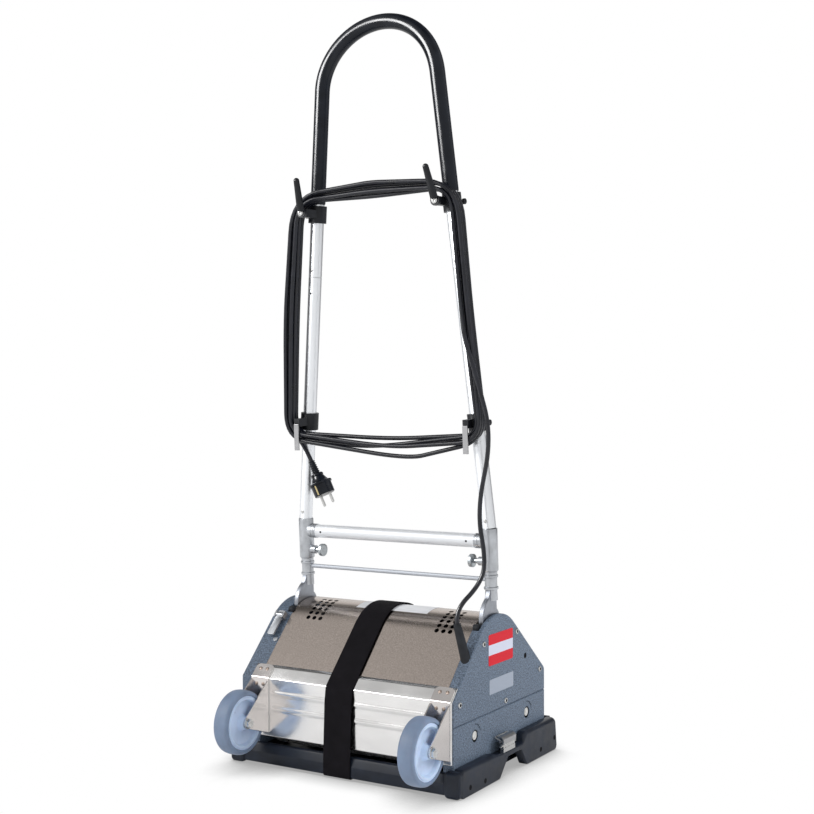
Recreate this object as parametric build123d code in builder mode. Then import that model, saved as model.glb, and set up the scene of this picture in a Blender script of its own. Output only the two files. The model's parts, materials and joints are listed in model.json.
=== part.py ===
from build123d import *
import math
import os

# Upright carpet machine with two counter-rotating brushes, parked in its tray.
# Sizes are in millimetres and angles in degrees.  X runs along the brush axles, Y from the wheels to the
# back, Z up.  The origin is on the floor, under the middle of the machine's outline seen from above.
# Heights are over the floor.  Places called y are measured from the middle of the side cases.

# Clearances
running_gap = 0.05
fit_gap = 0.05
slide_gap = 0.1
move_gap = 0.5

# Side cases
case_width = 392
case_depth = 310
case_bottom = 30
left_case_width = 35
right_case_width = 17
plate_thickness = 6
case_wall = 8
slot_wall = 3
shoulder_height = 138
front_slope = 46
rear_slope = 39.5
top_radius = 86
front_round = 4
rear_round = 12
parting_height = 101
parting_gap = 0.6
plate_edge_round = 1.2
screw_edge = 19
screw_radius = 2.5
screw_head_radius = 4.5
screw_head_height = 2.6
screw_length = 13
boss_radius = 6
spare_hole = (83, 169)
spare_hole_radius = 3

# Label and data plate on the right side
label_size = (82, 48)
label_middle = (-3, 197)
data_plate_size = (81, 23)
data_plate_middle = (-1, 140)
label_thickness = 0.4

# Cover and apron
cover_sheet = 1.5
cover_gap = 0.3
cover_rear_bottom = 60
vent_radius = 3.8
vent_pitch = 12
vent_columns = 3
vent_rows = 6
vent_from_middle = 110
vent_low_turn = 43.5
vent_turn_step = 7
apron_half_width = 185
apron_flange = 25
apron_bottom = 47
rib_heights = (115.5, 91)
rib_depth = 3.5
rib_half_height = 4

# Wheels and brackets
wheel_radius = 50
wheel_width = 27
tyre_thickness = 8.5
wheel_clear = 6
wheel_height = 78.5
bracket_spread = 166.5
bracket_width = 34
bracket_sheet = 2
bracket_flange = 24
bracket_low = 53
bracket_nose = 11
rivet_radius = 3.2
rivet_height = 1.8
rivet_half_spread = 6.5
rivet_up_slope = 15
rivet_drop = 9
bolt_radius = 4
bolt_head_radius = 6.5
bolt_head_height = 5

# Tray
tray_wall = 14
tray_side_gap = 2
tray_front_gap = 11
tray_rear_gap = 15
pan_gap = 3.5
pan_floor = 6
pan_front_gap = 8
pan_front_wall = 6
pan_front_height = 35
pan_rear_wall = 10
side_front_height = 42
side_latch_height = 38
side_rear_height = 54
side_chamfer = 7
side_corner = 9
latch_gap_front = -36
latch_gap_rear = 44
notch_low = (-36, 57)
notch_high = (-8, 37)
notch_height = 29
post_width = 27
post_depth = 10
ledge_width = 16
peg_holes = ((-132, 12), (-85, 10), (108, 13), (160, 21))
peg_hole_radius = 4
peg_hole_depth = 5

# Side latches of the tray
latch_middle = -6
latch_length = 50
latch_low = 44
latch_high = 64
latch_wall = 1.6
latch_depth = 11
latch_stand_off = 3
latch_pin_radius = 1.5
latch_pin_up = 4
latch_lip = 4
loop_wire_radius = 1.2
loop_pin_up = 12
keeper_height = 6
keeper_reach = 3
keeper_length = 28

# Strap
strap_width = 50
strap_thickness = 1.8
strap_middle = -5
strap_ease = 0.25

# Handle
pivot_y = -10
pivot_drop = 8.5
lean = 3.5
lug_radius = 38
lug_boss_radius = 18
lug_back = 10
lug_thickness = 8
lug_gap = 1.5
lug_play = 7
pin_radius = 6
bell_low = (16, 34)
bell_top = 46
neck_radius = 10
neck_foot = 36
ring_radius = 11.5
ring_height = 4
ring_places = (47, 66)
socket_low = 76
socket_top = 143
socket_radius = 12.5
spigot_length = 40
tube_radius = 11
tube_wall = 1.5
taper = 5.36
handle_rise = 950
seam_up = 548
spigot_root = 10
grip_low = 667
grip_thickness = 1.3
crossbar_up = 122
crossbar_radius = 10.5
crossbar_boss = 11
crossbar_boss_radius = 12
crossbar_wall = 1.5
tie_rod_up = 62
tie_rod_radius = 3.5
plunger_up = 90
plunger_radius = 4
plunger_boss_radius = 7
plunger_boss = 8
plunger_stem = 9
plunger_knob_radius = 10.5
plunger_knob_width = 5
plunger_travel = 6
tube_pin_radius = 3
pin_rise = 0.9
tube_pin_places = (155, 524)

# Cord hooks on the handle
clamp_radius = 15
clamp_height = 28
knob_stem_radius = 3
knob_head_radius = 4.5
knob_reach = 7
knob_head = 5
upper_hook_up = 650.5
upper_arm_half_spread = 125.5
upper_arm_reach = 44
lower_hook_up = 308
lower_arm_half_spread = 159.5
lower_arm_reach = 38
arm_width = 10
arm_height = 13
hook_thickness = 7
hook_hub_radius = 8
hook_length = 50
hook_forward = 16
hook_inward = 5
hook_root_radius = 6.2
hook_tip_radius = 4.7
hook_screw_radius = 2.5
hook_screw_head = 4.5
hook_screw_depth = 14
strip_width = 9
strip_thickness = 2.5
strip_low = 262
strip_lap = 4

# Lock lever on the left slope
lever_x = -175
lever_pivot_up = 116
lever_length = 40
lever_width = 13
lever_thickness = 3.5
lever_height = 8
lever_pin_radius = 2
lever_ear = 3
lever_nose = 8
bumper_place = (-166, 73)
bumper_radius = 4
bumper_height = 2

# Rubber stops in the handle slots
stop_radius = 6
stop_fore = 49.8
stop_drop = 7.1
stop_width = 9

# Cord
cord_radius = 3.75
cord_pitch = 8.7
coil_rear_fore = 24
coil_top_up = 669
coil_top_x = 144
coil_low_up = 290
coil_low_x = 176
coil_round = 24
coil_crown = 6
coil_bulge_left = -1
coil_bulge_right = -5
coil_sags = (25, 13, 4, 14, 26)
coil_rings = (2, 1, 0, 0, 1, 2)
coil_layers = (0, 0, 0, 1, 1, 1)
coil_start_up = 395
coil_end_up = 335
relief_base = (186, -100)
relief_lean = (-0.22, -0.10, 0.97)
relief_length = 46
relief_low_radius = 7.5
relief_top_radius = 6
relief_straight = 36
run_drop = 48
run_points = ((185, -61, 414), (200.5, -60, 337), (194, -68, 302))
tail_drop = 36
tail_corner = (-192, 304)
tail_fore = 15.4

# Plug, a plain two-pin one
plug_top = (-148.4, 241.2)
plug_tilt = 25
plug_straight = 22
plug_sleeve = 22
plug_sleeve_radius = 5.5
plug_neck_radius = 11
plug_body = 16
plug_flange_radius = 19.5
plug_flange = 4
plug_insert = 18
plug_insert_radius = 17.5
plug_pin_radius = 2.4
plug_pin_length = 19
plug_pin_spread = 19

# Motor, belt drive and brushes
motor_height = 170
motor_radius = 58
motor_length = 210
motor_from_left = 22
motor_bore_depth = 40
shaft_radius = 7
carrier_thickness = 8
carrier_inset = 40
carrier_rim = 8
rail_edge = 59
rail_height = 150
rail_radius = 8
brush_edge = 13
brush_height = 76
brush_radius = 54
brush_core_radius = 30
brush_end_gap = 6
tuft_rows = 11
tuft_gap = 6
axle_radius = 8
axle_window = 9.5
axle_end_inset = 1.5
bearing_radius = 16
bearing_width = 9
belt_width = 10
belt_thickness = 4
motor_pulley_radius = 16
brush_pulley_radius = 24
idler_radius = 13
idler_offset = (24, 48)
idler_stud_radius = 5
arc_groove_radius = 17
arc_groove_width = 1.4
arc_groove_depth = 0.6

# Places that follow from the sizes
half_depth = case_depth / 2
case_left = -case_width / 2
case_right = case_width / 2
left_inner = case_left + left_case_width
right_inner = case_right - right_case_width
middle_x = (left_inner + right_inner) / 2
tray_width = case_width + 2 * (tray_side_gap + tray_wall)
tray_front = half_depth + tray_front_gap
tray_rear = half_depth + tray_rear_gap
pan_front = half_depth + pan_front_gap
wheel_reach = half_depth + wheel_radius + wheel_clear
brush_y = half_depth - brush_radius - brush_edge
rail_y = half_depth - rail_edge
idler_place = (brush_y + idler_offset[0], brush_height + idler_offset[1])
corner_screw_y = half_depth - screw_edge
plate_screws = ((-60, 210), (52, 213), (corner_screw_y, 138), (-corner_screw_y, 132), (13, 110))
left_plate = case_left + plate_thickness
right_plate_face = case_right - plate_thickness
case_y = (wheel_reach + wheel_radius - tray_rear - strap_ease - strap_thickness) / 2
front_tan = math.tan(math.radians(front_slope))
rear_tan = math.tan(math.radians(rear_slope))
front_sin = math.sin(math.radians(front_slope))
front_cos = math.cos(math.radians(front_slope))
peak_y = half_depth * (rear_tan - front_tan) / (rear_tan + front_tan)
peak_z = shoulder_height + front_tan * (peak_y + half_depth)
peak_half_angle = math.radians(180 - front_slope - rear_slope) / 2
peak_turn = math.radians(front_slope - rear_slope) / 2
arc_y = peak_y + top_radius / math.sin(peak_half_angle) * math.sin(peak_turn)
arc_z = peak_z - top_radius / math.sin(peak_half_angle) * math.cos(peak_turn)
apex = arc_z + top_radius
pivot_z = apex - pivot_drop
stop_place = (pivot_y - stop_fore, pivot_z - stop_drop)
lug_slot = lug_thickness + 2 * lug_gap
belt_pocket = left_case_width - plate_thickness - lug_slot - slot_wall
leg_half = (right_inner - left_inner) / 2 + lug_gap + lug_thickness / 2
lean_sin = math.sin(math.radians(lean))
lean_cos = math.cos(math.radians(lean))
taper_tan = math.tan(math.radians(taper))
taper_sin = math.sin(math.radians(taper))
taper_cos = math.cos(math.radians(taper))
bow_up = (handle_rise - (leg_half + socket_top * taper_tan) * taper_cos) / (1 - taper_sin)
bow_radius = handle_rise - bow_up
spigot_radius = tube_radius - tube_wall - slide_gap
sides = (("left", -1), ("right", 1))


def side(x):
    """Plane square to the brush axles; its own axes are y from the middle of the cases, and height."""
    return Plane(origin=(x, case_y, 0), x_dir=(0, 1, 0), z_dir=(1, 0, 0))


def on_slope(x, up, out=0):
    """Plane lying on the front slope, up from the shoulder and out of the surface; local y climbs it."""
    y = case_y - half_depth + up * front_cos - out * front_sin
    z = shoulder_height + up * front_sin + out * front_cos
    return Plane(origin=(x, y, z), x_dir=(1, 0, 0), z_dir=(0, -front_sin, front_cos))


def on_handle(x, up, fore=0):
    """Point on the leaning handle: x from its middle, up along its legs, fore toward the user."""
    y = case_y + pivot_y - up * lean_sin - fore * lean_cos
    return Vector(middle_x + x, y, pivot_z + up * lean_cos - fore * lean_sin)


def handle_front(fore):
    """Plane across both legs of the handle, facing the user."""
    return Plane(origin=on_handle(0, 0, fore), x_dir=(1, 0, 0), z_dir=(0, -lean_cos, -lean_sin))


def handle_side(x):
    """Plane along one leg of the handle, square to X; local x points to the back, local y up the leg."""
    return Plane(origin=on_handle(x, 0), x_dir=(0, lean_cos, lean_sin), z_dir=(1, 0, 0))


def leg_x(up):
    """Distance of a leg's middle line from the handle's middle."""
    return leg_half - taper_tan * max(up - socket_top, 0)


def leg_point(hand, up):
    """Point on the middle line of one leg."""
    return on_handle(hand * leg_x(up), up)


def bar(start, end, radius, mode=Mode.ADD):
    """Round bar from one point to another."""
    run = Vector(end) - Vector(start)
    with Locations(Plane(origin=start, z_dir=run).location):
        Cylinder(radius, run.length, align=(Align.CENTER, Align.CENTER, Align.MIN), mode=mode)


def cone(start, end, start_radius, end_radius):
    """Round bar that changes its radius from one point to another."""
    run = Vector(end) - Vector(start)
    with Locations(Plane(origin=start, z_dir=run).location):
        Cone(start_radius, end_radius, run.length, align=(Align.CENTER, Align.CENTER, Align.MIN))


def rod(x_from, x_to, place, radius, mode=Mode.ADD):
    """Round bar along X at a place given as y and height."""
    bar((x_from, case_y + place[0], place[1]), (x_to, case_y + place[0], place[1]), radius, mode)


def hand_in(builder, name):
    """Label a finished piece and write it out."""
    builder.part.label = name
    export_step(builder.part, f"parts/{name}.step")


def bend_radii(points, wanted):
    """Radius of each bend of a route: the wanted one, or what 0.45 of the shorter run leaves room for."""
    radii = []
    for before, here, after, want in zip(points, points[1:], points[2:], wanted):
        run_in = here - before
        run_out = after - here
        half_turn = math.radians(run_in.get_angle(run_out)) / 2
        room = 0.45 * min(run_in.length, run_out.length) / math.tan(half_turn)
        radii.append(min(want, room))
    return radii


os.makedirs("parts", exist_ok=True)

# Side view of the cases: upright ends, two slopes and a round top
with BuildSketch() as case_shape:
    with BuildLine():
        Polyline(
            (-half_depth, case_bottom),
            (-half_depth, shoulder_height),
            (peak_y, peak_z),
            (half_depth, shoulder_height),
            (half_depth, case_bottom),
            close=True,
        )
    make_face()
    fillet(case_shape.vertices().sort_by(Axis.Y)[-1], top_radius)
    fillet(case_shape.vertices().filter_by_position(Axis.Y, shoulder_height - 1, shoulder_height + 1)
           .sort_by(Axis.X)[0], front_round)
    fillet(case_shape.vertices().filter_by_position(Axis.Y, shoulder_height - 1, shoulder_height + 1)
           .sort_by(Axis.X)[-1], rear_round)

# Tray: a pan between two deep side walls with a hand notch and a latch gap
with BuildPart() as tray:
    pan_depth = pan_front + tray_rear
    pan_y = case_y + (tray_rear - pan_front) / 2
    with BuildSketch(Plane.XY.offset(pan_gap)):
        with Locations((0, pan_y)):
            Rectangle(tray_width - 2 * tray_wall, pan_depth)
    extrude(amount=pan_floor)
    with BuildSketch(Plane.XY.offset(pan_gap)):
        with Locations((0, case_y - pan_front + pan_front_wall / 2)):
            Rectangle(tray_width - 2 * tray_wall, pan_front_wall)
    extrude(amount=pan_front_height - pan_gap)
    with BuildSketch(Plane.XY.offset(pan_gap)):
        with Locations((0, case_y + tray_rear - pan_rear_wall / 2)):
            Rectangle(tray_width - 2 * tray_wall, pan_rear_wall)
    extrude(amount=side_rear_height - pan_gap)
    for hand in (-1, 1):
        wall_x = hand * (tray_width - tray_wall) / 2
        with BuildSketch(side(wall_x - tray_wall / 2)):
            with BuildLine():
                Polyline(
                    (-tray_front + post_depth, 0),
                    (-tray_front + post_depth, side_front_height),
                    (latch_gap_front - 4, side_front_height),
                    (latch_gap_front, side_latch_height),
                    (latch_gap_rear, side_latch_height),
                    (latch_gap_rear + 8, side_rear_height),
                    (tray_rear, side_rear_height),
                    (tray_rear, 0),
                    (notch_low[1], 0),
                    (notch_high[1], notch_height),
                    (notch_high[0], notch_height),
                    (notch_low[0], 0),
                    close=True,
                )
            make_face()
        extrude(amount=tray_wall)
        for start, end, height in (
            (-tray_front, latch_gap_front, side_front_height),
            (latch_gap_rear, tray_rear, side_rear_height),
        ):
            with BuildSketch(Plane(origin=(0, case_y + start, 0), x_dir=(1, 0, 0), z_dir=(0, -1, 0))):
                with BuildLine():
                    Polyline(
                        (hand * tray_width / 2, height),
                        (hand * tray_width / 2, height - side_chamfer),
                        (hand * (tray_width / 2 - side_chamfer), height),
                        close=True,
                    )
                make_face()
            extrude(amount=start - end, mode=Mode.SUBTRACT)
        with BuildSketch(Plane.XY):
            with Locations((hand * (tray_width - post_width) / 2, case_y - tray_front + post_depth / 2)):
                RectangleRounded(post_width, post_depth, 4)
        extrude(amount=pan_front_height)
        with BuildSketch(Plane.XY.offset(pan_gap)):
            with Locations((hand * (tray_width / 2 - tray_wall - ledge_width / 2), case_y)):
                Rectangle(ledge_width, case_depth - 20)
        extrude(amount=case_bottom - pan_gap)
        for place in peg_holes:
            rod(hand * tray_width / 2, hand * (tray_width / 2 - peg_hole_depth), place, peg_hole_radius,
                Mode.SUBTRACT)
    with BuildSketch(Plane.XY):
        with Locations((0, case_y + (tray_rear - tray_front) / 2)):
            RectangleRounded(tray_width, tray_rear + tray_front, side_corner)
    extrude(amount=side_rear_height, mode=Mode.INTERSECT)
hand_in(tray, "tray")

# Latches: a foot on the tray wall, a lever over it, a wire loop on the lever and a keeper on the case
latch_wall_x = tray_width / 2
latch_pin_x = latch_wall_x - latch_depth / 2 + latch_stand_off
latch_pin_z = latch_low + latch_pin_up
loop_pin_z = latch_low + loop_pin_up
foot_length = latch_length - 2 * latch_wall - 8
keeper_top = loop_pin_z + 3
loop_bar_z = keeper_top + loop_wire_radius + move_gap
with BuildPart() as latch_feet:
    for hand in (-1, 1):
        with Locations((hand * latch_pin_x, case_y + latch_middle, side_latch_height)):
            Box(latch_depth - 2 * latch_wall - 2, foot_length, latch_low - side_latch_height + 1,
                align=(Align.CENTER, Align.CENTER, Align.MIN))
        with Locations((hand * latch_pin_x, case_y + latch_middle, latch_low + 1)):
            Box(2 * latch_pin_radius + 2, foot_length, latch_pin_up + latch_pin_radius,
                align=(Align.CENTER, Align.CENTER, Align.MIN))
        pin_end = latch_length / 2 + 1
        pin_start = (hand * latch_pin_x, case_y + latch_middle - pin_end, latch_pin_z)
        pin_stop = (hand * latch_pin_x, case_y + latch_middle + pin_end, latch_pin_z)
        bar(pin_start, pin_stop, latch_pin_radius)
hand_in(latch_feet, "latch_feet")

for label, hand in sides:
    with BuildPart() as latch_lever:
        inside = Align.CENTER
        with Locations((hand * latch_pin_x, case_y + latch_middle, latch_low)):
            Box(latch_depth, latch_length, latch_high - latch_low, align=(inside, inside, Align.MIN))
        with Locations((hand * (latch_pin_x - latch_wall), case_y + latch_middle, latch_low - latch_wall)):
            Box(latch_depth, latch_length - 2 * latch_wall, latch_high - latch_low,
                align=(inside, inside, Align.MIN), mode=Mode.SUBTRACT)
        with Locations((hand * (latch_pin_x + latch_depth / 2), case_y + latch_middle, latch_low)):
            Box(2 * latch_wall, latch_length - 2 * latch_wall, latch_pin_up + latch_lip,
                align=(inside, inside, Align.MIN), mode=Mode.SUBTRACT)
        pin_end = latch_length / 2 + 1
        bar((hand * latch_pin_x, case_y + latch_middle - pin_end, latch_pin_z),
            (hand * latch_pin_x, case_y + latch_middle + pin_end, latch_pin_z),
            latch_pin_radius + running_gap, Mode.SUBTRACT)
        bar((hand * latch_pin_x, case_y + latch_middle - pin_end, loop_pin_z),
            (hand * latch_pin_x, case_y + latch_middle + pin_end, loop_pin_z),
            loop_wire_radius + running_gap, Mode.SUBTRACT)
        fillet(latch_lever.edges().filter_by(Axis.Y).group_by(Axis.Z)[-1], 1)
    hand_in(latch_lever, f"{label}_latch_lever")
    with BuildPart() as latch_loop:
        loop_half = latch_length / 2 - 4
        loop_x = hand * (case_right + keeper_reach / 2)
        with BuildLine() as loop_path:
            FilletPolyline(
                (hand * latch_pin_x, case_y + latch_middle - loop_half - 6, loop_pin_z),
                (hand * latch_pin_x, case_y + latch_middle - loop_half, loop_pin_z),
                (loop_x, case_y + latch_middle - loop_half, loop_bar_z),
                (loop_x, case_y + latch_middle + loop_half, loop_bar_z),
                (hand * latch_pin_x, case_y + latch_middle + loop_half, loop_pin_z),
                (hand * latch_pin_x, case_y + latch_middle + loop_half + 6, loop_pin_z),
                radius=2,
            )
        with BuildSketch(Plane(origin=loop_path.line @ 0, z_dir=loop_path.line % 0)):
            Circle(loop_wire_radius)
        sweep()
    hand_in(latch_loop, f"{label}_latch_loop")

# Left case with the belt pocket, the handle slot and the shaft bores
slot_sketch_play = lug_radius + lug_play
with BuildPart() as left_case:
    with BuildSketch(side(left_plate)):
        add(case_shape.sketch)
    extrude(amount=left_inner - left_plate)
    with BuildSketch(side(left_plate)):
        offset(case_shape.sketch, -case_wall)
    extrude(amount=belt_pocket, mode=Mode.SUBTRACT)
    for place in plate_screws:
        rod(left_plate, left_plate + belt_pocket, place, boss_radius)
    rod(left_inner - lug_slot, left_inner, (pivot_y, pivot_z), slot_sketch_play, Mode.SUBTRACT)
    rod(left_inner - lug_slot, left_inner, stop_place, stop_radius + fit_gap, Mode.SUBTRACT)
    rod(left_plate + 1, left_plate + belt_pocket, idler_place, idler_stud_radius)
    rod(left_plate, left_inner, (0, motor_height), shaft_radius + 1, Mode.SUBTRACT)
    for hand in (-1, 1):
        rod(left_plate, left_inner, (hand * brush_y, brush_height), axle_radius + 1, Mode.SUBTRACT)
        rod(left_inner - bearing_width, left_inner, (hand * brush_y, brush_height),
            bearing_radius + fit_gap, Mode.SUBTRACT)
    for place in plate_screws:
        rod(left_plate, case_left + screw_length, place, screw_radius + fit_gap, Mode.SUBTRACT)
hand_in(left_case, "left_case")

with BuildPart() as belt_cover:
    with BuildSketch(side(case_left)):
        add(case_shape.sketch)
    extrude(amount=plate_thickness)
    chamfer(belt_cover.faces().sort_by(Axis.X)[0].edges(), plate_edge_round)
    for place in plate_screws:
        rod(case_left, left_plate, place, screw_radius + fit_gap, Mode.SUBTRACT)
    with Locations((case_left, case_y + latch_middle, keeper_top)):
        Box(keeper_reach, keeper_length, keeper_height, align=(Align.MAX, Align.CENTER, Align.MAX))
hand_in(belt_cover, "belt_cover")

# Right case, and its side closed by a plate above the parting line and a brush door below it
with BuildPart() as right_case:
    with BuildSketch(side(right_inner)):
        add(case_shape.sketch)
    extrude(amount=right_plate_face - right_inner)
    rod(right_inner, right_plate_face, (pivot_y, pivot_z), slot_sketch_play, Mode.SUBTRACT)
    rod(right_inner, right_plate_face, stop_place, stop_radius + fit_gap, Mode.SUBTRACT)
    for hand in (-1, 1):
        rod(right_inner, right_plate_face, (hand * brush_y, brush_height), axle_radius + 1, Mode.SUBTRACT)
        rod(right_inner, right_inner + bearing_width, (hand * brush_y, brush_height),
            bearing_radius + fit_gap, Mode.SUBTRACT)
    for place in plate_screws:
        rod(case_right - screw_length, right_plate_face, place, screw_radius + fit_gap, Mode.SUBTRACT)
hand_in(right_case, "right_case")

with BuildPart() as right_plate:
    with BuildSketch(side(right_plate_face)):
        add(case_shape.sketch)
        with Locations((0, parting_height + parting_gap / 2)):
            Rectangle(2 * case_depth, 2 * case_depth, align=(Align.CENTER, Align.MAX), mode=Mode.SUBTRACT)
    extrude(amount=plate_thickness)
    chamfer(right_plate.faces().sort_by(Axis.X)[-1].edges(), plate_edge_round)
    for place in plate_screws:
        rod(right_plate_face, case_right, place, screw_radius + fit_gap, Mode.SUBTRACT)
    rod(case_right - 4, case_right, spare_hole, spare_hole_radius, Mode.SUBTRACT)
hand_in(right_plate, "right_plate")

with BuildPart() as brush_door:
    with BuildSketch(side(right_plate_face)):
        add(case_shape.sketch)
        with Locations((0, parting_height - parting_gap / 2)):
            Rectangle(2 * case_depth, 2 * case_depth, align=(Align.CENTER, Align.MIN), mode=Mode.SUBTRACT)
    extrude(amount=plate_thickness)
    chamfer(brush_door.faces().sort_by(Axis.X)[-1].edges(), plate_edge_round)
    for hand in (-1, 1):
        rod(right_plate_face, case_right, (hand * brush_y, brush_height), axle_window, Mode.SUBTRACT)
        with BuildSketch(side(case_right - arc_groove_depth)):
            with BuildLine():
                CenterArc((hand * brush_y, brush_height), arc_groove_radius, 15, 70)
                offset(amount=arc_groove_width / 2)
            make_face()
        extrude(amount=arc_groove_depth, mode=Mode.SUBTRACT)
    with Locations((case_right, case_y + latch_middle, keeper_top)):
        Box(keeper_reach, keeper_length, keeper_height, align=(Align.MIN, Align.CENTER, Align.MAX))
hand_in(brush_door, "brush_door")

with BuildPart() as case_screws:
    for place in plate_screws:
        rod(right_plate_face - screw_length + plate_thickness + 1, case_right, place, screw_radius)
        rod(case_right, case_right + screw_head_height, place, screw_head_radius)
        rod(case_left, case_left + screw_length - 1, place, screw_radius)
        rod(case_left - screw_head_height, case_left, place, screw_head_radius)
    fillet(case_screws.faces().filter_by(Axis.X).filter_by(
        lambda face: abs(face.center().X) > case_right + 1).edges(), screw_head_height / 2)
hand_in(case_screws, "case_screws")

with BuildPart() as band_label:
    with BuildSketch(side(case_right)):
        with Locations(label_middle):
            RectangleRounded(*label_size, 3)
    extrude(amount=label_thickness)
hand_in(band_label, "band_label")

with BuildPart() as data_plate:
    with BuildSketch(side(case_right)):
        with Locations(data_plate_middle):
            RectangleRounded(*data_plate_size, 2)
    extrude(amount=label_thickness)
hand_in(data_plate, "data_plate")

# Cover: one bent sheet from the front shoulder over the top and down the back
with BuildPart() as cover:
    with BuildSketch(side(left_inner + cover_gap)):
        add(case_shape.sketch)
        offset(case_shape.sketch, -cover_sheet, mode=Mode.SUBTRACT)
        with Locations((-half_depth - 1, case_bottom - 1)):
            Rectangle(case_depth - 4, shoulder_height - case_bottom + 1, align=(Align.MIN, Align.MIN),
                      mode=Mode.SUBTRACT)
        with Locations((half_depth - 6, case_bottom - 1)):
            Rectangle(12, cover_rear_bottom - case_bottom + 1, align=(Align.MIN, Align.MIN),
                      mode=Mode.SUBTRACT)
    extrude(amount=right_inner - left_inner - 2 * cover_gap)
    for row in range(vent_rows):
        turn = vent_low_turn - row * vent_turn_step
        for column in range(vent_columns):
            for hand in (-1, 1):
                x = middle_x + hand * (vent_from_middle + column * vent_pitch)
                with Locations(Location((x, case_y + arc_y, arc_z), (turn, 0, 0))):
                    Cylinder(vent_radius, top_radius + 1, align=(Align.CENTER, Align.CENTER, Align.MIN),
                             mode=Mode.SUBTRACT)
hand_in(cover, "cover")

# Apron: a flange on the slope and an upright front with two ribs
with BuildPart() as apron:
    slope_end = (-half_depth + apron_flange * front_cos, shoulder_height + apron_flange * front_sin)
    with BuildSketch(side(middle_x - apron_half_width)):
        with BuildLine():
            Polyline(
                slope_end,
                (-half_depth, shoulder_height),
                (-half_depth, apron_bottom),
            )
            offset(amount=cover_sheet, side=Side.RIGHT, kind=Kind.INTERSECTION)
        make_face()
    extrude(amount=2 * apron_half_width)
    rib_half_length = bracket_spread - bracket_width / 2 - 2
    for height in rib_heights:
        with BuildSketch(side(middle_x - rib_half_length)):
            with BuildLine():
                Polyline(
                    (-half_depth - cover_sheet, height + rib_half_height),
                    (-half_depth - cover_sheet - rib_depth, height + 1),
                    (-half_depth - cover_sheet - rib_depth, height - 1),
                    (-half_depth - cover_sheet, height - rib_half_height),
                    close=True,
                )
            make_face()
        extrude(amount=2 * rib_half_length)
hand_in(apron, "apron")

# Wheel brackets, wheels and tyres
apron_face = -half_depth - cover_sheet
bracket_face = apron_face - bracket_sheet
wheel_place = (-wheel_reach, wheel_height)
for label, hand in sides:
    bracket_x = middle_x + hand * bracket_spread
    with BuildPart() as bracket:
        with BuildSketch(side(bracket_x - bracket_width / 2)):
            with BuildLine():
                Polyline(
                    (apron_face + bracket_flange * front_cos, shoulder_height + bracket_flange * front_sin
                     + cover_sheet * (1 - front_sin) / front_cos),
                    (apron_face, shoulder_height + cover_sheet * (1 - front_sin) / front_cos),
                    (apron_face, bracket_low),
                )
                offset(amount=bracket_sheet, side=Side.RIGHT, kind=Kind.INTERSECTION)
            make_face()
        extrude(amount=bracket_width)
        for cheek_x in (-bracket_width / 2, bracket_width / 2 - bracket_sheet):
            with BuildSketch(side(bracket_x + cheek_x)) as cheek:
                with BuildLine():
                    Polyline(
                        (bracket_face, shoulder_height),
                        (-wheel_reach - bracket_nose * 1.6, wheel_height - bracket_nose * 0.3),
                        (bracket_face, bracket_low),
                        close=True,
                    )
                make_face()
                fillet(cheek.vertices().sort_by(Axis.Y)[0:1], bracket_nose)
            extrude(amount=bracket_sheet)
        rod(bracket_x - bracket_width, bracket_x + bracket_width, wheel_place, bolt_radius + fit_gap,
            Mode.SUBTRACT)
    hand_in(bracket, f"{label}_bracket")

    rim_radius = wheel_radius - tyre_thickness
    wheel_axis = Axis((bracket_x, case_y - wheel_reach, wheel_height), (1, 0, 0))
    wheel_plane = Plane(origin=wheel_axis.position, x_dir=(1, 0, 0), z_dir=(0, -1, 0))
    hub_half = bracket_width / 2 - bracket_sheet - move_gap
    with BuildPart() as wheel:
        with BuildSketch(wheel_plane):
            with BuildLine():
                Polyline(
                    (hub_half, bolt_radius + running_gap),
                    (hub_half, bolt_head_radius + 3),
                    (hub_half - 9, bolt_head_radius + 5),
                    (hub_half - 10, rim_radius - 7),
                    (wheel_width / 2 - 1, rim_radius - 4),
                    (wheel_width / 2 - 1, rim_radius),
                    (1 - wheel_width / 2, rim_radius),
                    (1 - wheel_width / 2, rim_radius - 4),
                    (10 - hub_half, rim_radius - 7),
                    (9 - hub_half, bolt_head_radius + 5),
                    (-hub_half, bolt_head_radius + 3),
                    (-hub_half, bolt_radius + running_gap),
                    close=True,
                )
            make_face()
        revolve(axis=wheel_axis)
    hand_in(wheel, f"{label}_wheel")

    with BuildPart() as tyre:
        with BuildSketch(wheel_plane) as tread:
            with Locations((0, rim_radius + fit_gap)):
                Rectangle(wheel_width, tyre_thickness - fit_gap, align=(Align.CENTER, Align.MIN))
            fillet(tread.vertices().sort_by(Axis.Y)[-2:], tyre_thickness * 0.55)
        revolve(axis=wheel_axis)
    hand_in(tyre, f"{label}_tyre")

with BuildPart() as wheel_bolts:
    for label, hand in sides:
        outer = middle_x + hand * bracket_spread + bracket_width / 2
        inner = outer - bracket_width
        rod(inner, outer, wheel_place, bolt_radius)
        rod(outer, outer + bolt_head_height, wheel_place, bolt_head_radius)
        rod(inner - bolt_head_height, inner, wheel_place, bolt_head_radius)
hand_in(wheel_bolts, "wheel_bolts")

with BuildPart() as bracket_rivets:
    for label, hand in sides:
        for spread in (-rivet_half_spread, rivet_half_spread):
            x = middle_x + hand * bracket_spread + spread
            lift = cover_sheet + bracket_sheet
            with Locations(on_slope(x, rivet_up_slope, lift).location):
                Cylinder(rivet_radius, rivet_height, align=(Align.CENTER, Align.CENTER, Align.MIN))
            bar((x, case_y + bracket_face, shoulder_height - rivet_drop),
                (x, case_y + bracket_face - rivet_height, shoulder_height - rivet_drop), rivet_radius)
hand_in(bracket_rivets, "bracket_rivets")

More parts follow.
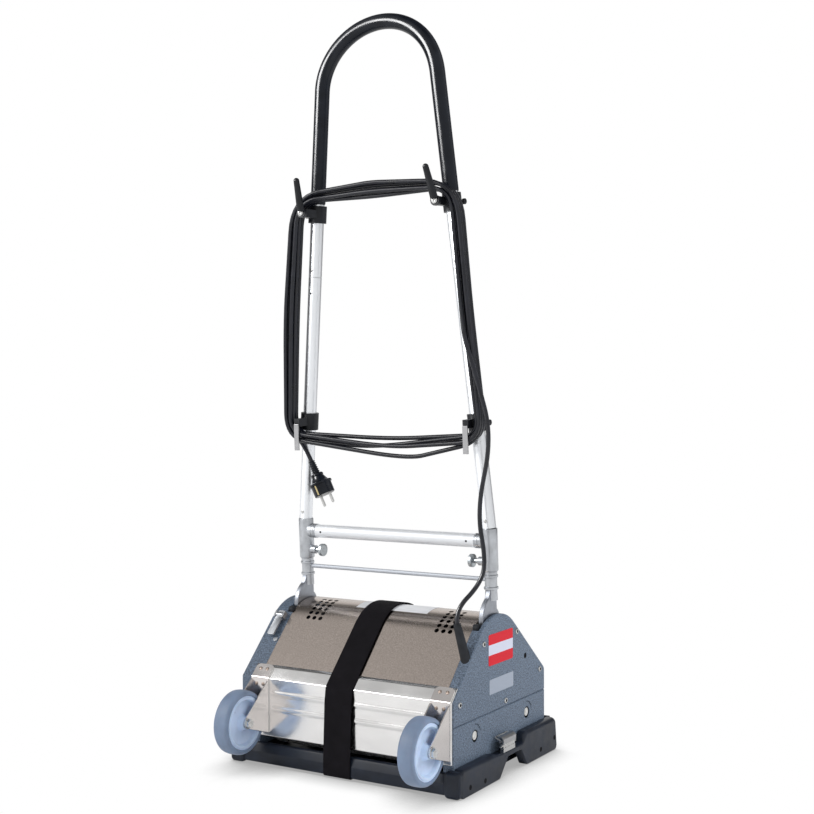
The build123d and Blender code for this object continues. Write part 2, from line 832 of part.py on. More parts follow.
# Strap: stretched over the cover and the apron's fold, and round the tray
strap_lift = cover_sheet + strap_ease
strap_fold = shoulder_height + strap_lift * (front_cos + front_tan * (front_sin - 1))
with BuildSketch() as strap_shape:
    with BuildLine():
        Polyline(
            (-pan_front - strap_ease, pan_gap - strap_ease),
            (-pan_front - strap_ease, pan_front_height),
            (-half_depth - strap_lift - rib_depth, rib_heights[0] + 1),
            (-half_depth - strap_lift, strap_fold),
            (peak_y, peak_z + strap_lift / math.sin(peak_half_angle)),
            (half_depth + strap_lift, shoulder_height + strap_lift / 2),
            (tray_rear + strap_ease, side_rear_height),
            (tray_rear + strap_ease, pan_gap - strap_ease),
            close=True,
        )
    make_face()
    fillet(strap_shape.vertices().sort_by(Axis.Y)[-1], top_radius + strap_lift)
    fillet(strap_shape.vertices().filter_by_position(Axis.Y, shoulder_height, shoulder_height + strap_lift)
           .sort_by(Axis.X)[-1], rear_round)
with BuildPart() as strap:
    with BuildSketch(side(strap_middle - strap_width / 2)):
        offset(strap_shape.sketch, strap_thickness)
        add(strap_shape.sketch, mode=Mode.SUBTRACT)
    extrude(amount=strap_width)
hand_in(strap, "strap")

# Rubber stops, handle pivots and the lock lever on the slopes
with BuildPart() as handle_stops:
    rod(left_inner - stop_width, left_inner, stop_place, stop_radius)
    rod(right_inner, right_inner + stop_width, stop_place, stop_radius)
hand_in(handle_stops, "handle_stops")

with BuildPart() as handle_pivots:
    rod(left_inner - lug_slot, left_inner, (pivot_y, pivot_z), pin_radius)
    rod(right_inner, right_plate_face, (pivot_y, pivot_z), pin_radius)
hand_in(handle_pivots, "handle_pivots")

with BuildPart() as lever_mount:
    ear_half = lever_width / 2 + slide_gap + lever_ear
    with BuildSketch(on_slope(lever_x, lever_pivot_up)):
        Rectangle(2 * ear_half, 4 * lever_ear)
    extrude(amount=2)
    for hand in (-1, 1):
        with BuildSketch(on_slope(lever_x + hand * (ear_half - lever_ear / 2), lever_pivot_up)):
            Rectangle(lever_ear, 4 * lever_ear)
        extrude(amount=lever_height + 2 * lever_pin_radius)
    pin_plane = on_slope(0, lever_pivot_up, lever_height)
    bar((lever_x - ear_half, pin_plane.origin.Y, pin_plane.origin.Z),
        (lever_x + ear_half, pin_plane.origin.Y, pin_plane.origin.Z), lever_pin_radius)
    with BuildSketch(on_slope(*bumper_place)):
        Circle(bumper_radius)
    extrude(amount=bumper_height)
hand_in(lever_mount, "lever_mount")

with BuildPart() as lock_lever:
    with BuildSketch(on_slope(lever_x, lever_pivot_up, lever_height - lever_thickness / 2)):
        with Locations((0, lever_nose)):
            RectangleRounded(lever_width, lever_nose + lever_length, 4, align=(Align.CENTER, Align.MAX))
    extrude(amount=lever_thickness)
    bar((lever_x - lever_width / 2, pin_plane.origin.Y, pin_plane.origin.Z),
        (lever_x + lever_width / 2, pin_plane.origin.Y, pin_plane.origin.Z), lever_pin_radius + 2)
    bar((lever_x - lever_width, pin_plane.origin.Y, pin_plane.origin.Z),
        (lever_x + lever_width, pin_plane.origin.Y, pin_plane.origin.Z),
        lever_pin_radius + running_gap, Mode.SUBTRACT)
hand_in(lock_lever, "lock_lever")

# Handle: two forks, a crossbar, a tie rod, tubes, bow and grip
for label, hand in sides:
    leg = hand * leg_half
    with BuildPart() as fork:
        with BuildSketch(handle_side(leg - lug_thickness / 2)):
            Circle(lug_radius)
            with Locations((lug_back, 0)):
                Rectangle(lug_radius, 2 * lug_radius, align=(Align.MIN, Align.CENTER), mode=Mode.SUBTRACT)
            Circle(lug_boss_radius)
            with BuildLine():
                Polyline(
                    (-bell_low[0], bell_low[1]),
                    (-neck_radius, bell_top),
                    (lug_back, bell_top),
                    (lug_back, 0),
                    close=True,
                )
            make_face()
            Circle(pin_radius + running_gap, mode=Mode.SUBTRACT)
        extrude(amount=lug_thickness)
        bar(on_handle(leg, neck_foot), on_handle(leg, socket_low), neck_radius)
        for up in ring_places:
            bar(on_handle(leg, up), on_handle(leg, up + ring_height), ring_radius)
        bar(on_handle(leg, socket_low), on_handle(leg, socket_top), socket_radius)
        bar(on_handle(leg, socket_top - 1), leg_point(hand, socket_top + spigot_length),
            spigot_radius)
        boss_end = hand * (leg_half - socket_radius - crossbar_boss)
        bar(on_handle(leg, crossbar_up), on_handle(boss_end, crossbar_up), crossbar_boss_radius)
        plunger_end = hand * (leg_half - socket_radius - plunger_boss)
        bar(on_handle(leg, plunger_up), on_handle(plunger_end, plunger_up), plunger_boss_radius)
        bar(on_handle(leg, plunger_up), on_handle(plunger_end, plunger_up),
            plunger_radius + running_gap, Mode.SUBTRACT)
        bar(on_handle(leg, tie_rod_up), on_handle(0, tie_rod_up), tie_rod_radius + fit_gap, Mode.SUBTRACT)
    hand_in(fork, f"{label}_fork")

    with BuildPart() as plunger:
        stem_end = plunger_end - hand * plunger_stem
        bar(on_handle(leg - hand * plunger_travel, plunger_up), on_handle(stem_end, plunger_up),
            plunger_radius)
        bar(on_handle(stem_end, plunger_up),
            on_handle(stem_end - hand * plunger_knob_width, plunger_up), plunger_knob_radius)
        fillet(plunger.edges().filter_by(GeomType.CIRCLE).filter_by(
            lambda edge: abs(edge.radius - plunger_knob_radius) < 0.1), 1.5)
    hand_in(plunger, f"{label}_plunger")

    with BuildPart() as tube:
        foot = leg_point(hand, socket_top) * 1.01 - leg_point(hand, seam_up) * 0.01
        bar(foot, leg_point(hand, seam_up), tube_radius)
        bar(foot, leg_point(hand, seam_up), tube_radius - tube_wall, Mode.SUBTRACT)
        socket_face = Plane(origin=on_handle(0, socket_top), z_dir=(0, -lean_sin, lean_cos))
        split(bisect_by=socket_face, keep=Keep.TOP)
        for up in tube_pin_places:
            x = hand * leg_x(up)
            bar(on_handle(x, up), on_handle(x, up, 2 * tube_radius), tube_pin_radius + fit_gap,
                Mode.SUBTRACT)
    hand_in(tube, f"{label}_tube")

crossbar_half = leg_half - socket_radius - crossbar_boss
with BuildPart() as crossbar:
    bar(on_handle(-crossbar_half, crossbar_up), on_handle(crossbar_half, crossbar_up), crossbar_radius)
    bar(on_handle(-crossbar_half, crossbar_up), on_handle(crossbar_half, crossbar_up),
        crossbar_radius - crossbar_wall, Mode.SUBTRACT)
hand_in(crossbar, "crossbar")

with BuildPart() as tie_rod:
    bar(on_handle(-leg_half, tie_rod_up), on_handle(leg_half, tie_rod_up), tie_rod_radius)
hand_in(tie_rod, "tie_rod")

arc_end = (bow_radius * taper_cos, bow_up + bow_radius * taper_sin)
with BuildPart() as bow:
    with BuildLine(handle_front(0)) as bow_path:
        Line((leg_x(seam_up), seam_up), arc_end)
        CenterArc((0, bow_up), bow_radius, taper, 180 - 2 * taper)
        Line((-arc_end[0], arc_end[1]), (-leg_x(seam_up), seam_up))
    with BuildSketch(Plane(origin=bow_path.line @ 0, z_dir=bow_path.line % 0)):
        Circle(tube_radius)
        Circle(tube_radius - tube_wall, mode=Mode.SUBTRACT)
    sweep()
    for hand in (-1, 1):
        bar(leg_point(hand, seam_up), leg_point(hand, seam_up + spigot_root), tube_radius - tube_wall / 2)
        bar(leg_point(hand, seam_up - spigot_length), leg_point(hand, seam_up + 1), spigot_radius)
        bar(leg_point(hand, seam_up - spigot_length), leg_point(hand, seam_up + spigot_root),
            spigot_radius - tube_wall, Mode.SUBTRACT)
hand_in(bow, "bow")

with BuildPart() as grip:
    with BuildLine(handle_front(0)) as grip_path:
        Line((leg_x(grip_low), grip_low), arc_end)
        CenterArc((0, bow_up), bow_radius, taper, 180 - 2 * taper)
        Line((-arc_end[0], arc_end[1]), (-leg_x(grip_low), grip_low))
    with BuildSketch(Plane(origin=grip_path.line @ 0, z_dir=grip_path.line % 0)):
        Circle(tube_radius + grip_thickness)
        Circle(tube_radius + fit_gap, mode=Mode.SUBTRACT)
    sweep()
hand_in(grip, "grip")

with BuildPart() as tube_pins:
    for hand in (-1, 1):
        for up in tube_pin_places:
            x = hand * leg_x(up)
            bar(on_handle(x, up, spigot_radius + fit_gap), on_handle(x, up, tube_radius + pin_rise),
                tube_pin_radius)
hand_in(tube_pins, "tube_pins")

# Cord hooks: a clamp and an arm on each leg, a swivel hook above, a fixed strip below
hook_rows = (
    (upper_hook_up, upper_arm_half_spread, upper_arm_reach),
    (lower_hook_up, lower_arm_half_spread, lower_arm_reach),
)
with BuildPart() as hook_clamps:
    for up, half_spread, reach in hook_rows:
        for hand in (-1, 1):
            low = leg_point(hand, up - clamp_height / 2)
            high = leg_point(hand, up + clamp_height / 2)
            bar(low, high, clamp_radius)
            with BuildSketch(handle_front(tube_radius + 1)):
                with Locations((hand * half_spread, up)):
                    Rectangle(arm_width, arm_height)
            extrude(amount=reach - tube_radius - 1)
            bar(leg_point(hand, up - clamp_height), leg_point(hand, up + clamp_height),
                tube_radius + fit_gap, Mode.SUBTRACT)
            bar(on_handle(hand * leg_x(up), up), on_handle(hand * (leg_x(up) + 2 * clamp_radius), up),
                knob_stem_radius + fit_gap, Mode.SUBTRACT)
    for hand in (-1, 1):
        bar(on_handle(hand * upper_arm_half_spread, upper_hook_up, upper_arm_reach),
            on_handle(hand * upper_arm_half_spread, upper_hook_up, upper_arm_reach - hook_screw_depth),
            hook_screw_radius + fit_gap, Mode.SUBTRACT)
hand_in(hook_clamps, "hook_clamps")

with BuildPart() as clamp_knobs:
    for up, half_spread, reach in hook_rows:
        for hand in (-1, 1):
            stem_start = leg_x(up) + tube_radius + 1
            stem_end = leg_x(up) + clamp_radius + knob_reach
            head_start = stem_end - knob_head
            bar(on_handle(hand * stem_start, up), on_handle(hand * stem_end, up), knob_stem_radius)
            bar(on_handle(hand * head_start, up), on_handle(hand * stem_end, up), knob_head_radius)
hand_in(clamp_knobs, "clamp_knobs")

hook_fore = upper_arm_reach + slide_gap
for label, hand in sides:
    hub_x = hand * upper_arm_half_spread
    with BuildPart() as hook:
        bar(on_handle(hub_x, upper_hook_up, hook_fore),
            on_handle(hub_x, upper_hook_up, hook_fore + hook_thickness), hook_hub_radius)
        tip = on_handle(hub_x - hand * hook_inward, upper_hook_up + hook_length,
                        hook_fore + hook_root_radius + hook_forward)
        cone(on_handle(hub_x, upper_hook_up, hook_fore + hook_root_radius), tip,
             hook_root_radius, hook_tip_radius)
        with Locations(tip):
            Sphere(hook_tip_radius)
        bar(on_handle(hub_x, upper_hook_up, hook_fore - 1),
            on_handle(hub_x, upper_hook_up, hook_fore + 2 * hook_thickness),
            hook_screw_radius + running_gap, Mode.SUBTRACT)
        bar(on_handle(hub_x, upper_hook_up, hook_fore + hook_thickness),
            on_handle(hub_x, upper_hook_up, hook_fore + 2 * hook_thickness), hook_hub_radius, Mode.SUBTRACT)
    hand_in(hook, f"{label}_hook")

with BuildPart() as hook_screws:
    for hand in (-1, 1):
        hub_x = hand * upper_arm_half_spread
        head_fore = hook_fore + hook_thickness + slide_gap
        bar(on_handle(hub_x, upper_hook_up, upper_arm_reach - hook_screw_depth + 1),
            on_handle(hub_x, upper_hook_up, head_fore), hook_screw_radius)
        bar(on_handle(hub_x, upper_hook_up, head_fore),
            on_handle(hub_x, upper_hook_up, head_fore + 2), hook_screw_head)
hand_in(hook_screws, "hook_screws")

with BuildPart() as hook_strips:
    for hand in (-1, 1):
        strip_high = lower_hook_up - arm_height / 2 + strip_lap
        with BuildSketch(handle_front(lower_arm_reach)):
            with Locations((hand * lower_arm_half_spread, strip_high)):
                Rectangle(strip_width, strip_high - strip_low, align=(Align.CENTER, Align.MAX))
        extrude(amount=strip_thickness)
hand_in(hook_strips, "hook_strips")

# Cord: turns spiral in behind, climb along the bottom and spiral out in front
def coil_point(x, up, ring_x, ring_up, layer):
    """Point of the coil's middle line, moved out by its ring and forward by its layer."""
    fore = coil_rear_fore + layer * cord_pitch
    return on_handle(x + ring_x * cord_pitch, up + ring_up * cord_pitch, fore)


coil_route = []
coil_wanted = []
coil_mid_left = (coil_top_x + coil_low_x) / 2 + coil_bulge_left
coil_mid_right = (coil_top_x + coil_low_x) / 2 + coil_bulge_right
coil_mid_up = (coil_top_up + coil_low_up) / 2
turns = len(coil_rings)
for turn in range(turns):
    ring = coil_rings[turn]
    layer = coil_layers[turn]
    corner = coil_round + ring * cord_pitch
    if turn == 0:
        share = (coil_start_up - coil_low_up) / (coil_mid_up - coil_low_up)
        start_x = coil_low_x + share * (coil_mid_left - coil_low_x)
        coil_route.append(coil_point(-start_x, coil_start_up, -ring, 0, layer))
    else:
        coil_route.append(coil_point(-coil_low_x, coil_low_up, -ring, -ring, layer))
    coil_route.append(coil_point(-coil_mid_left, coil_mid_up, -ring, 0, layer))
    coil_route.append(coil_point(-coil_top_x, coil_top_up, -ring, ring, layer))
    coil_route.append(coil_point(0, coil_top_up + coil_crown, 0, ring, layer))
    coil_route.append(coil_point(coil_top_x, coil_top_up, ring, ring, layer))
    coil_route.append(coil_point(coil_mid_right, coil_mid_up, ring, 0, layer))
    coil_wanted += [corner, math.inf, corner, math.inf, corner, math.inf]
    if turn < turns - 1:
        mean_ring = (ring + coil_rings[turn + 1]) / 2
        mean_layer = (layer + coil_layers[turn + 1]) / 2
        coil_route.append(coil_point(coil_low_x, coil_low_up, ring, -ring, layer))
        coil_route.append(coil_point(0, coil_low_up - coil_sags[turn], 0, -mean_ring, mean_layer))
        coil_wanted += [corner, math.inf]
    else:
        share = (coil_end_up - coil_low_up) / (coil_mid_up - coil_low_up)
        end_x = coil_low_x + share * (coil_mid_right - coil_low_x)
        coil_route.append(coil_point(end_x, coil_end_up, ring, 0, layer))
        coil_wanted.append(corner)
coil_radii = bend_radii(coil_route, coil_wanted[1:-1])

with BuildPart() as cord_coil:
    with BuildLine() as coil_path:
        FilletPolyline(*coil_route, radius=coil_radii)
    with BuildSketch(Plane(origin=coil_path.line @ 0, z_dir=coil_path.line % 0)):
        Circle(cord_radius)
    sweep()
hand_in(cord_coil, "cord_coil")

# Plug on its tail: sleeve, grip, flange and two pins
plug_dir = (math.sin(math.radians(plug_tilt)), -math.cos(math.radians(plug_tilt)))


def plug_point(along, across=0):
    """Point along the plug's axis from the top of its sleeve, and across it toward the second pin."""
    x = plug_top[0] + along * plug_dir[0] - across * plug_dir[1]
    up = plug_top[1] + along * plug_dir[1] + across * plug_dir[0]
    return on_handle(x, up, tail_fore)


plug_grip_end = plug_sleeve + plug_body
plug_rim = plug_grip_end + plug_flange
plug_face = plug_rim + plug_insert
with BuildPart() as plug:
    cone(plug_point(0), plug_point(plug_sleeve), plug_sleeve_radius, plug_sleeve_radius + 1.5)
    cone(plug_point(plug_sleeve), plug_point(plug_grip_end), plug_neck_radius, plug_neck_radius + 3)
    bar(plug_point(plug_grip_end), plug_point(plug_rim), plug_flange_radius)
    bar(plug_point(plug_rim), plug_point(plug_face), plug_insert_radius)
hand_in(plug, "plug")

with BuildPart() as plug_pins:
    for across in (-plug_pin_spread / 2, plug_pin_spread / 2):
        bar(plug_point(plug_face, across), plug_point(plug_face + plug_pin_length, across), plug_pin_radius)
    fillet(plug_pins.faces().filter_by(GeomType.PLANE).sort_by(
        lambda face: (face.center() - plug_point(0)).length)[-2:].edges(), plug_pin_radius * 0.6)
hand_in(plug_pins, "plug_pins")

tail_top = coil_route[0] - (coil_route[1] - coil_route[0]).normalized() * tail_drop
tail_route = [plug_point(0), plug_point(-plug_straight), on_handle(*tail_corner, tail_fore), tail_top,
              coil_route[0]]
tail_radii = bend_radii(tail_route, [math.inf] * len(tail_route))
with BuildPart() as cord_tail:
    with BuildLine() as tail_path:
        FilletPolyline(*tail_route, radius=tail_radii)
    with BuildSketch(Plane(origin=tail_path.line @ 0, z_dir=tail_path.line % 0)):
        Circle(cord_radius)
    sweep()
hand_in(cord_tail, "cord_tail")

# Strain relief on the right slope, and the free run from the coil down into it
relief_axis = Vector(*relief_lean).normalized()
relief_up = (relief_base[1] + half_depth) / front_cos
relief_foot = on_slope(relief_base[0], relief_up).origin
relief_end = relief_foot + relief_axis * relief_length
with BuildPart() as strain_relief:
    relief_start = relief_foot - relief_axis * 2 * relief_low_radius
    cone(relief_start, relief_end, relief_low_radius, relief_top_radius)
    split(bisect_by=on_slope(relief_base[0], relief_up), keep=Keep.TOP)
hand_in(strain_relief, "strain_relief")

run_way = (coil_route[-1] - coil_route[-2]).normalized()
run_route = [coil_route[-1], coil_route[-1] + run_way * run_drop]
run_route += [Vector(x, case_y + y, z) for x, y, z in run_points]
run_route += [relief_end + relief_axis * relief_straight, relief_end]
run_radii = bend_radii(run_route, [math.inf] * len(run_route))
with BuildPart() as cord_run:
    with BuildLine() as run_path:
        FilletPolyline(*run_route, radius=run_radii)
    with BuildSketch(Plane(origin=run_path.line @ 0, z_dir=run_path.line % 0)):
        Circle(cord_radius)
    sweep()
hand_in(cord_run, "cord_run")

# Motor hung in two carriers on two cross rails
motor_left = left_inner + motor_from_left
motor_right = motor_left + motor_length
with BuildPart() as motor:
    rod(motor_left, motor_right, (0, motor_height), motor_radius)
    fillet(motor.edges().filter_by(GeomType.CIRCLE), 4)
    rod(motor_left, motor_left + motor_bore_depth, (0, motor_height), shaft_radius + running_gap,
        Mode.SUBTRACT)
hand_in(motor, "motor")

with BuildPart() as motor_frame:
    for x in (motor_left + carrier_inset, motor_right - carrier_inset):
        with BuildSketch(side(x - carrier_thickness / 2)):
            with Locations((0, motor_height)):
                Circle(motor_radius + carrier_rim)
            with Locations((0, rail_height)):
                Rectangle(2 * rail_y, rail_radius + carrier_rim)
            with Locations((0, motor_height)):
                Circle(motor_radius + fit_gap, mode=Mode.SUBTRACT)
        extrude(amount=carrier_thickness)
    for hand in (-1, 1):
        rod(left_inner, right_inner, (hand * rail_y, rail_height), rail_radius)
hand_in(motor_frame, "motor_frame")

belt_left = left_plate + (belt_pocket - belt_width) / 2
belt_right = belt_left + belt_width
with BuildPart() as motor_rotor:
    rod(belt_left, motor_left + motor_bore_depth - 1, (0, motor_height), shaft_radius)
    rod(belt_left, belt_right, (0, motor_height), motor_pulley_radius - running_gap)
hand_in(motor_rotor, "motor_rotor")

with BuildPart() as idler:
    rod(belt_left, belt_right, idler_place, idler_radius - running_gap)
    rod(belt_left, belt_right, idler_place, idler_stud_radius + running_gap, Mode.SUBTRACT)
hand_in(idler, "idler")

for label, hand in (("front", -1), ("rear", 1)):
    brush_place = (hand * brush_y, brush_height)
    barrel_left = left_inner + brush_end_gap
    barrel_right = right_inner - brush_end_gap
    tuft_pitch = (barrel_right - barrel_left + tuft_gap) / tuft_rows
    with BuildPart() as brush:
        rod(belt_left, case_right - axle_end_inset, brush_place, axle_radius)
        rod(barrel_left, barrel_right, brush_place, brush_core_radius)
        for row in range(tuft_rows):
            tuft_left = barrel_left + row * tuft_pitch
            rod(tuft_left, tuft_left + tuft_pitch - tuft_gap, brush_place, brush_radius)
        rod(belt_left, belt_right, brush_place, brush_pulley_radius - running_gap)
    hand_in(brush, f"{label}_brush")

with BuildPart() as bearings:
    for hand in (-1, 1):
        for x in (left_inner - bearing_width, right_inner):
            rod(x, x + bearing_width, (hand * brush_y, brush_height), bearing_radius)
            rod(x, x + bearing_width, (hand * brush_y, brush_height), axle_radius + running_gap,
                Mode.SUBTRACT)
hand_in(bearings, "bearings")

# Belt: round the front brush, over the rear one with its back, round the idler and the motor
belt_half = belt_thickness / 2
belt_wheels = (
    (Vector(-brush_y, brush_height), brush_pulley_radius + belt_half),
    (Vector(brush_y, brush_height), -brush_pulley_radius - belt_half),
    (Vector(*idler_place), idler_radius + belt_half),
    (Vector(0, motor_height), motor_pulley_radius + belt_half),
)
belt_lines = []
for (first, first_radius), (second, second_radius) in zip(belt_wheels, belt_wheels[1:] + belt_wheels[:1]):
    apart = second - first
    lift = (second_radius - first_radius) / apart.length
    along = math.atan2(apart.Y, apart.X) - math.asin(lift)
    normal = Vector(-math.sin(along), math.cos(along))
    belt_lines.append((first - normal * first_radius, second - normal * second_radius,
                       Vector(math.cos(along), math.sin(along))))
with BuildSketch() as belt_loop:
    with BuildLine():
        for (start, end, way), (onward, _, _) in zip(belt_lines, belt_lines[1:] + belt_lines[:1]):
            Line(start, end)
            TangentArc(end, onward, tangent=way)
    make_face()
with BuildPart() as drive_belt:
    with BuildSketch(side(belt_left)):
        offset(belt_loop.sketch, belt_half)
        offset(belt_loop.sketch, -belt_half, mode=Mode.SUBTRACT)
    extrude(amount=belt_width)
hand_in(drive_belt, "drive_belt")

# Checks of the cord: bends, length and volume, and the least gap between its own turns
for name, radii, path, piece in (
    ("coil", coil_radii, coil_path, cord_coil),
    ("tail", tail_radii, tail_path, cord_tail),
    ("run", run_radii, run_path, cord_run),
):
    length = path.wire().length
    ideal = length * math.pi * cord_radius ** 2
    print(name, "length", round(length), "bends", [round(radius) for radius in radii], "least bend",
          round(min(radii), 1), "volume ratio", round(piece.part.volume / ideal, 4))
coil_wire = coil_path.wire()
steps = int(coil_wire.length / 6)
spots = [tuple(coil_wire @ (i / steps)) for i in range(steps + 1)]
spots += [tuple(tail_path.wire() @ (i / 40)) for i in range(36)]
least = min(
    math.dist(here, other)
    for i, here in enumerate(spots)
    for other in spots[i + 10:]
)
print("least gap between turns", round(least - 2 * cord_radius, 2))
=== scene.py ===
import json
import math

import bmesh
import bpy
import numpy as np
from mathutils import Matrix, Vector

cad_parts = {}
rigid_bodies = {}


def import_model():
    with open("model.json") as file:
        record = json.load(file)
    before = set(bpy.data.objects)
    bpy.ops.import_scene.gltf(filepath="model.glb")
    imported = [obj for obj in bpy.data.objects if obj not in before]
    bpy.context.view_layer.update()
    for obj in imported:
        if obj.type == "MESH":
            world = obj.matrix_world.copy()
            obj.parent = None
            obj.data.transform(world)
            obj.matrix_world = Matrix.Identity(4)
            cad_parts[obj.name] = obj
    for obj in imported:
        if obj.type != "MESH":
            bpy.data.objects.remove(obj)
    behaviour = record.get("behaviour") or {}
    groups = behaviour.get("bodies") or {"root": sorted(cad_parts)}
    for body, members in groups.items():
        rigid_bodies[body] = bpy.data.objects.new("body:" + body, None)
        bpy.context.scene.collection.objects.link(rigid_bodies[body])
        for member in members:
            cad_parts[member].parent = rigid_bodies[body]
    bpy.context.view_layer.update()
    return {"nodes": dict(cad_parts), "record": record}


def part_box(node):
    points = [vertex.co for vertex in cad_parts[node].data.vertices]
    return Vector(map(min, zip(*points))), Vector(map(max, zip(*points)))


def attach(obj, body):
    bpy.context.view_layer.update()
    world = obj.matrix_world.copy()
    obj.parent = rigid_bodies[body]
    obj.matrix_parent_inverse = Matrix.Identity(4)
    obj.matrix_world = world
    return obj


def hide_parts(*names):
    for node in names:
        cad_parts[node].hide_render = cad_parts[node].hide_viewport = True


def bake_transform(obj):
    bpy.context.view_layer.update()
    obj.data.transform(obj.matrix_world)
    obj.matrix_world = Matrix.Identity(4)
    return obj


bl_info = {
    "name": "Carpet machine dress",
    "version": (1, 0, 0),
    "blender": (4, 5, 0),
    "location": "3D View > Sidebar > Carpet machine",
    "description": "Finishes, cord, strap and fine parts of an upright carpet machine parked in its tray",
    "category": "Object",
}

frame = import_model()

# Places and directions taken from the frame, in metres
MM = 0.001
joints = {joint["name"]: joint for joint in frame["record"]["behaviour"]["joints"]}
ALONG_X, ALONG_Y, ALONG_Z = np.eye(3)
SIDES = (("left", -1), ("right", 1))


def corners(node):
    """Lowest and highest corner of a node as arrays."""
    low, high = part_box(node)
    return np.array(low), np.array(high)


def joint_place(name):
    """Point on a joint's axis."""
    return np.array(joints[name]["pos_m"])


PIVOT = joint_place("handle_tilt")
MIDDLE_X = PIVOT[0]
CASE_LOW, CASE_HIGH = corners("right_plate")
CASE_Y = (CASE_LOW[1] + CASE_HIGH[1]) / 2
HALF_DEPTH = (CASE_HIGH[1] - CASE_LOW[1]) / 2
SIDE_X = CASE_HIGH[0]

# Sizes of the body, repeated from the construction
SHOULDER = 138 * MM
FRONT_SLOPE = math.radians(46)
SLOPE_UP = np.array([0.0, math.cos(FRONT_SLOPE), math.sin(FRONT_SLOPE)])
SLOPE_OUT = np.array([0.0, -math.sin(FRONT_SLOPE), math.cos(FRONT_SLOPE)])
REAR_SLOPE = math.radians(39.5)
SHEET = 1.5 * MM

# The slopes would meet at the ridge; the cover's roll is the arc that touches both
FRONT_RISE = math.tan(FRONT_SLOPE)
REAR_RISE = math.tan(REAR_SLOPE)
RIDGE_Y = HALF_DEPTH * (REAR_RISE - FRONT_RISE) / (REAR_RISE + FRONT_RISE)
RIDGE_Z = SHOULDER + FRONT_RISE * (RIDGE_Y + HALF_DEPTH)
RIDGE_HALF = (math.pi - FRONT_SLOPE - REAR_SLOPE) / 2
RIDGE_TILT = (FRONT_SLOPE - REAR_SLOPE) / 2
ROLL_RADIUS = 86 * MM
ROLL_DROP = ROLL_RADIUS / math.sin(RIDGE_HALF)
ROLL_Y = CASE_Y + RIDGE_Y + ROLL_DROP * math.sin(RIDGE_TILT)
ROLL_Z = RIDGE_Z - ROLL_DROP * math.cos(RIDGE_TILT)

# Sizes of the handle, repeated from the construction, but for the bow's lean back and sink
LEAN = math.radians(3.5)
LEG_UP = np.array([0.0, -math.sin(LEAN), math.cos(LEAN)])
LEG_FORE = np.array([0.0, -math.cos(LEAN), -math.sin(LEAN)])
LEG_HALF = 175.5 * MM
SOCKET_TOP = 143 * MM
TAPER = math.radians(5.36)
HANDLE_RISE = 950 * MM
TUBE_RADIUS = 11 * MM
GRIP_LOW = 667 * MM
BOW_BACK = 12 * MM
BOW_SINK = 1.6 * MM
CROSSBAR_UP = 122 * MM
PLUNGER_UP = 90 * MM
LOWER_HOOK_UP = 308 * MM
UPPER_HOOK_UP = 650.5 * MM
UPPER_ARM_SPREAD = 125.5 * MM
UPPER_ARM_REACH = 44 * MM


def on_handle(x, up, fore=0.0):
    """Point of the leaning handle: x from its middle, up along its legs, fore toward the user."""
    x, up, fore = np.broadcast_arrays(x, up, fore)
    return PIVOT + x[..., None] * ALONG_X + up[..., None] * LEG_UP + fore[..., None] * LEG_FORE


def on_slope(x, up, out=0.0):
    """Point over the front slope: x, up from the shoulder, out of the surface."""
    x, up, out = np.broadcast_arrays(x, up, out)
    foot = np.array([0.0, CASE_Y - HALF_DEPTH, SHOULDER])
    return foot + x[..., None] * ALONG_X + up[..., None] * SLOPE_UP + out[..., None] * SLOPE_OUT


def unit(vector):
    """Vector, or rows of vectors, of length one."""
    vector = np.asarray(vector, float)
    return vector / np.linalg.norm(vector, axis=-1, keepdims=True)


def leg_x(up):
    """Distance of a leg's middle line from the handle's middle."""
    return LEG_HALF - math.tan(TAPER) * np.maximum(up - SOCKET_TOP, 0)


def bow_path(low):
    """Middle line of the handle's bow from a height on the right leg over the top to the left leg."""
    reach = (LEG_HALF + SOCKET_TOP * math.tan(TAPER)) * math.cos(TAPER)
    bow_up = (HANDLE_RISE - reach) / (1 - math.sin(TAPER))
    bow_radius = HANDLE_RISE - bow_up
    angle = np.linspace(TAPER, math.pi - TAPER, 64)
    arc = np.column_stack([bow_radius * np.cos(angle), bow_up + bow_radius * np.sin(angle)])
    arc_foot = arc[0, 1]
    end_steps = np.array((0.0, 0.8, 2.0)) * MM
    leg_low = low + 20 * MM
    leg_high = arc_foot - 5 * MM
    up = np.concatenate([low + end_steps, np.linspace(leg_low, leg_high, 6)])
    leg = np.column_stack([leg_x(up), up])
    flat = np.vstack([leg, arc, (leg * (-1, 1))[::-1]])
    share = np.clip((flat[:, 1] - arc_foot) / (HANDLE_RISE - arc_foot), 0, 1)
    return on_handle(flat[:, 0], flat[:, 1] - BOW_SINK * share ** 2, -BOW_BACK * share ** 1.5)


class CarpetMachineSizes(bpy.types.PropertyGroup):
    """Sizes that the dress is worked out from."""

    cord_diameter: bpy.props.FloatProperty(
        name="Cord diameter", description="Outer diameter of the mains cord", default=7.0 * MM,
        min=4 * MM, max=12 * MM, unit="LENGTH")
    cord_pitch: bpy.props.FloatProperty(
        name="Turn spacing", description="Distance between neighbouring turns on the hooks",
        default=8.7 * MM, min=8 * MM, max=20 * MM, unit="LENGTH")
    strap_width: bpy.props.FloatProperty(
        name="Strap width", description="Width of the webbing", default=50 * MM, min=20 * MM, max=80 * MM,
        unit="LENGTH")
    strap_thickness: bpy.props.FloatProperty(
        name="Strap thickness", description="Thickness of the webbing", default=1.6 * MM, min=1 * MM,
        max=3 * MM, unit="LENGTH")


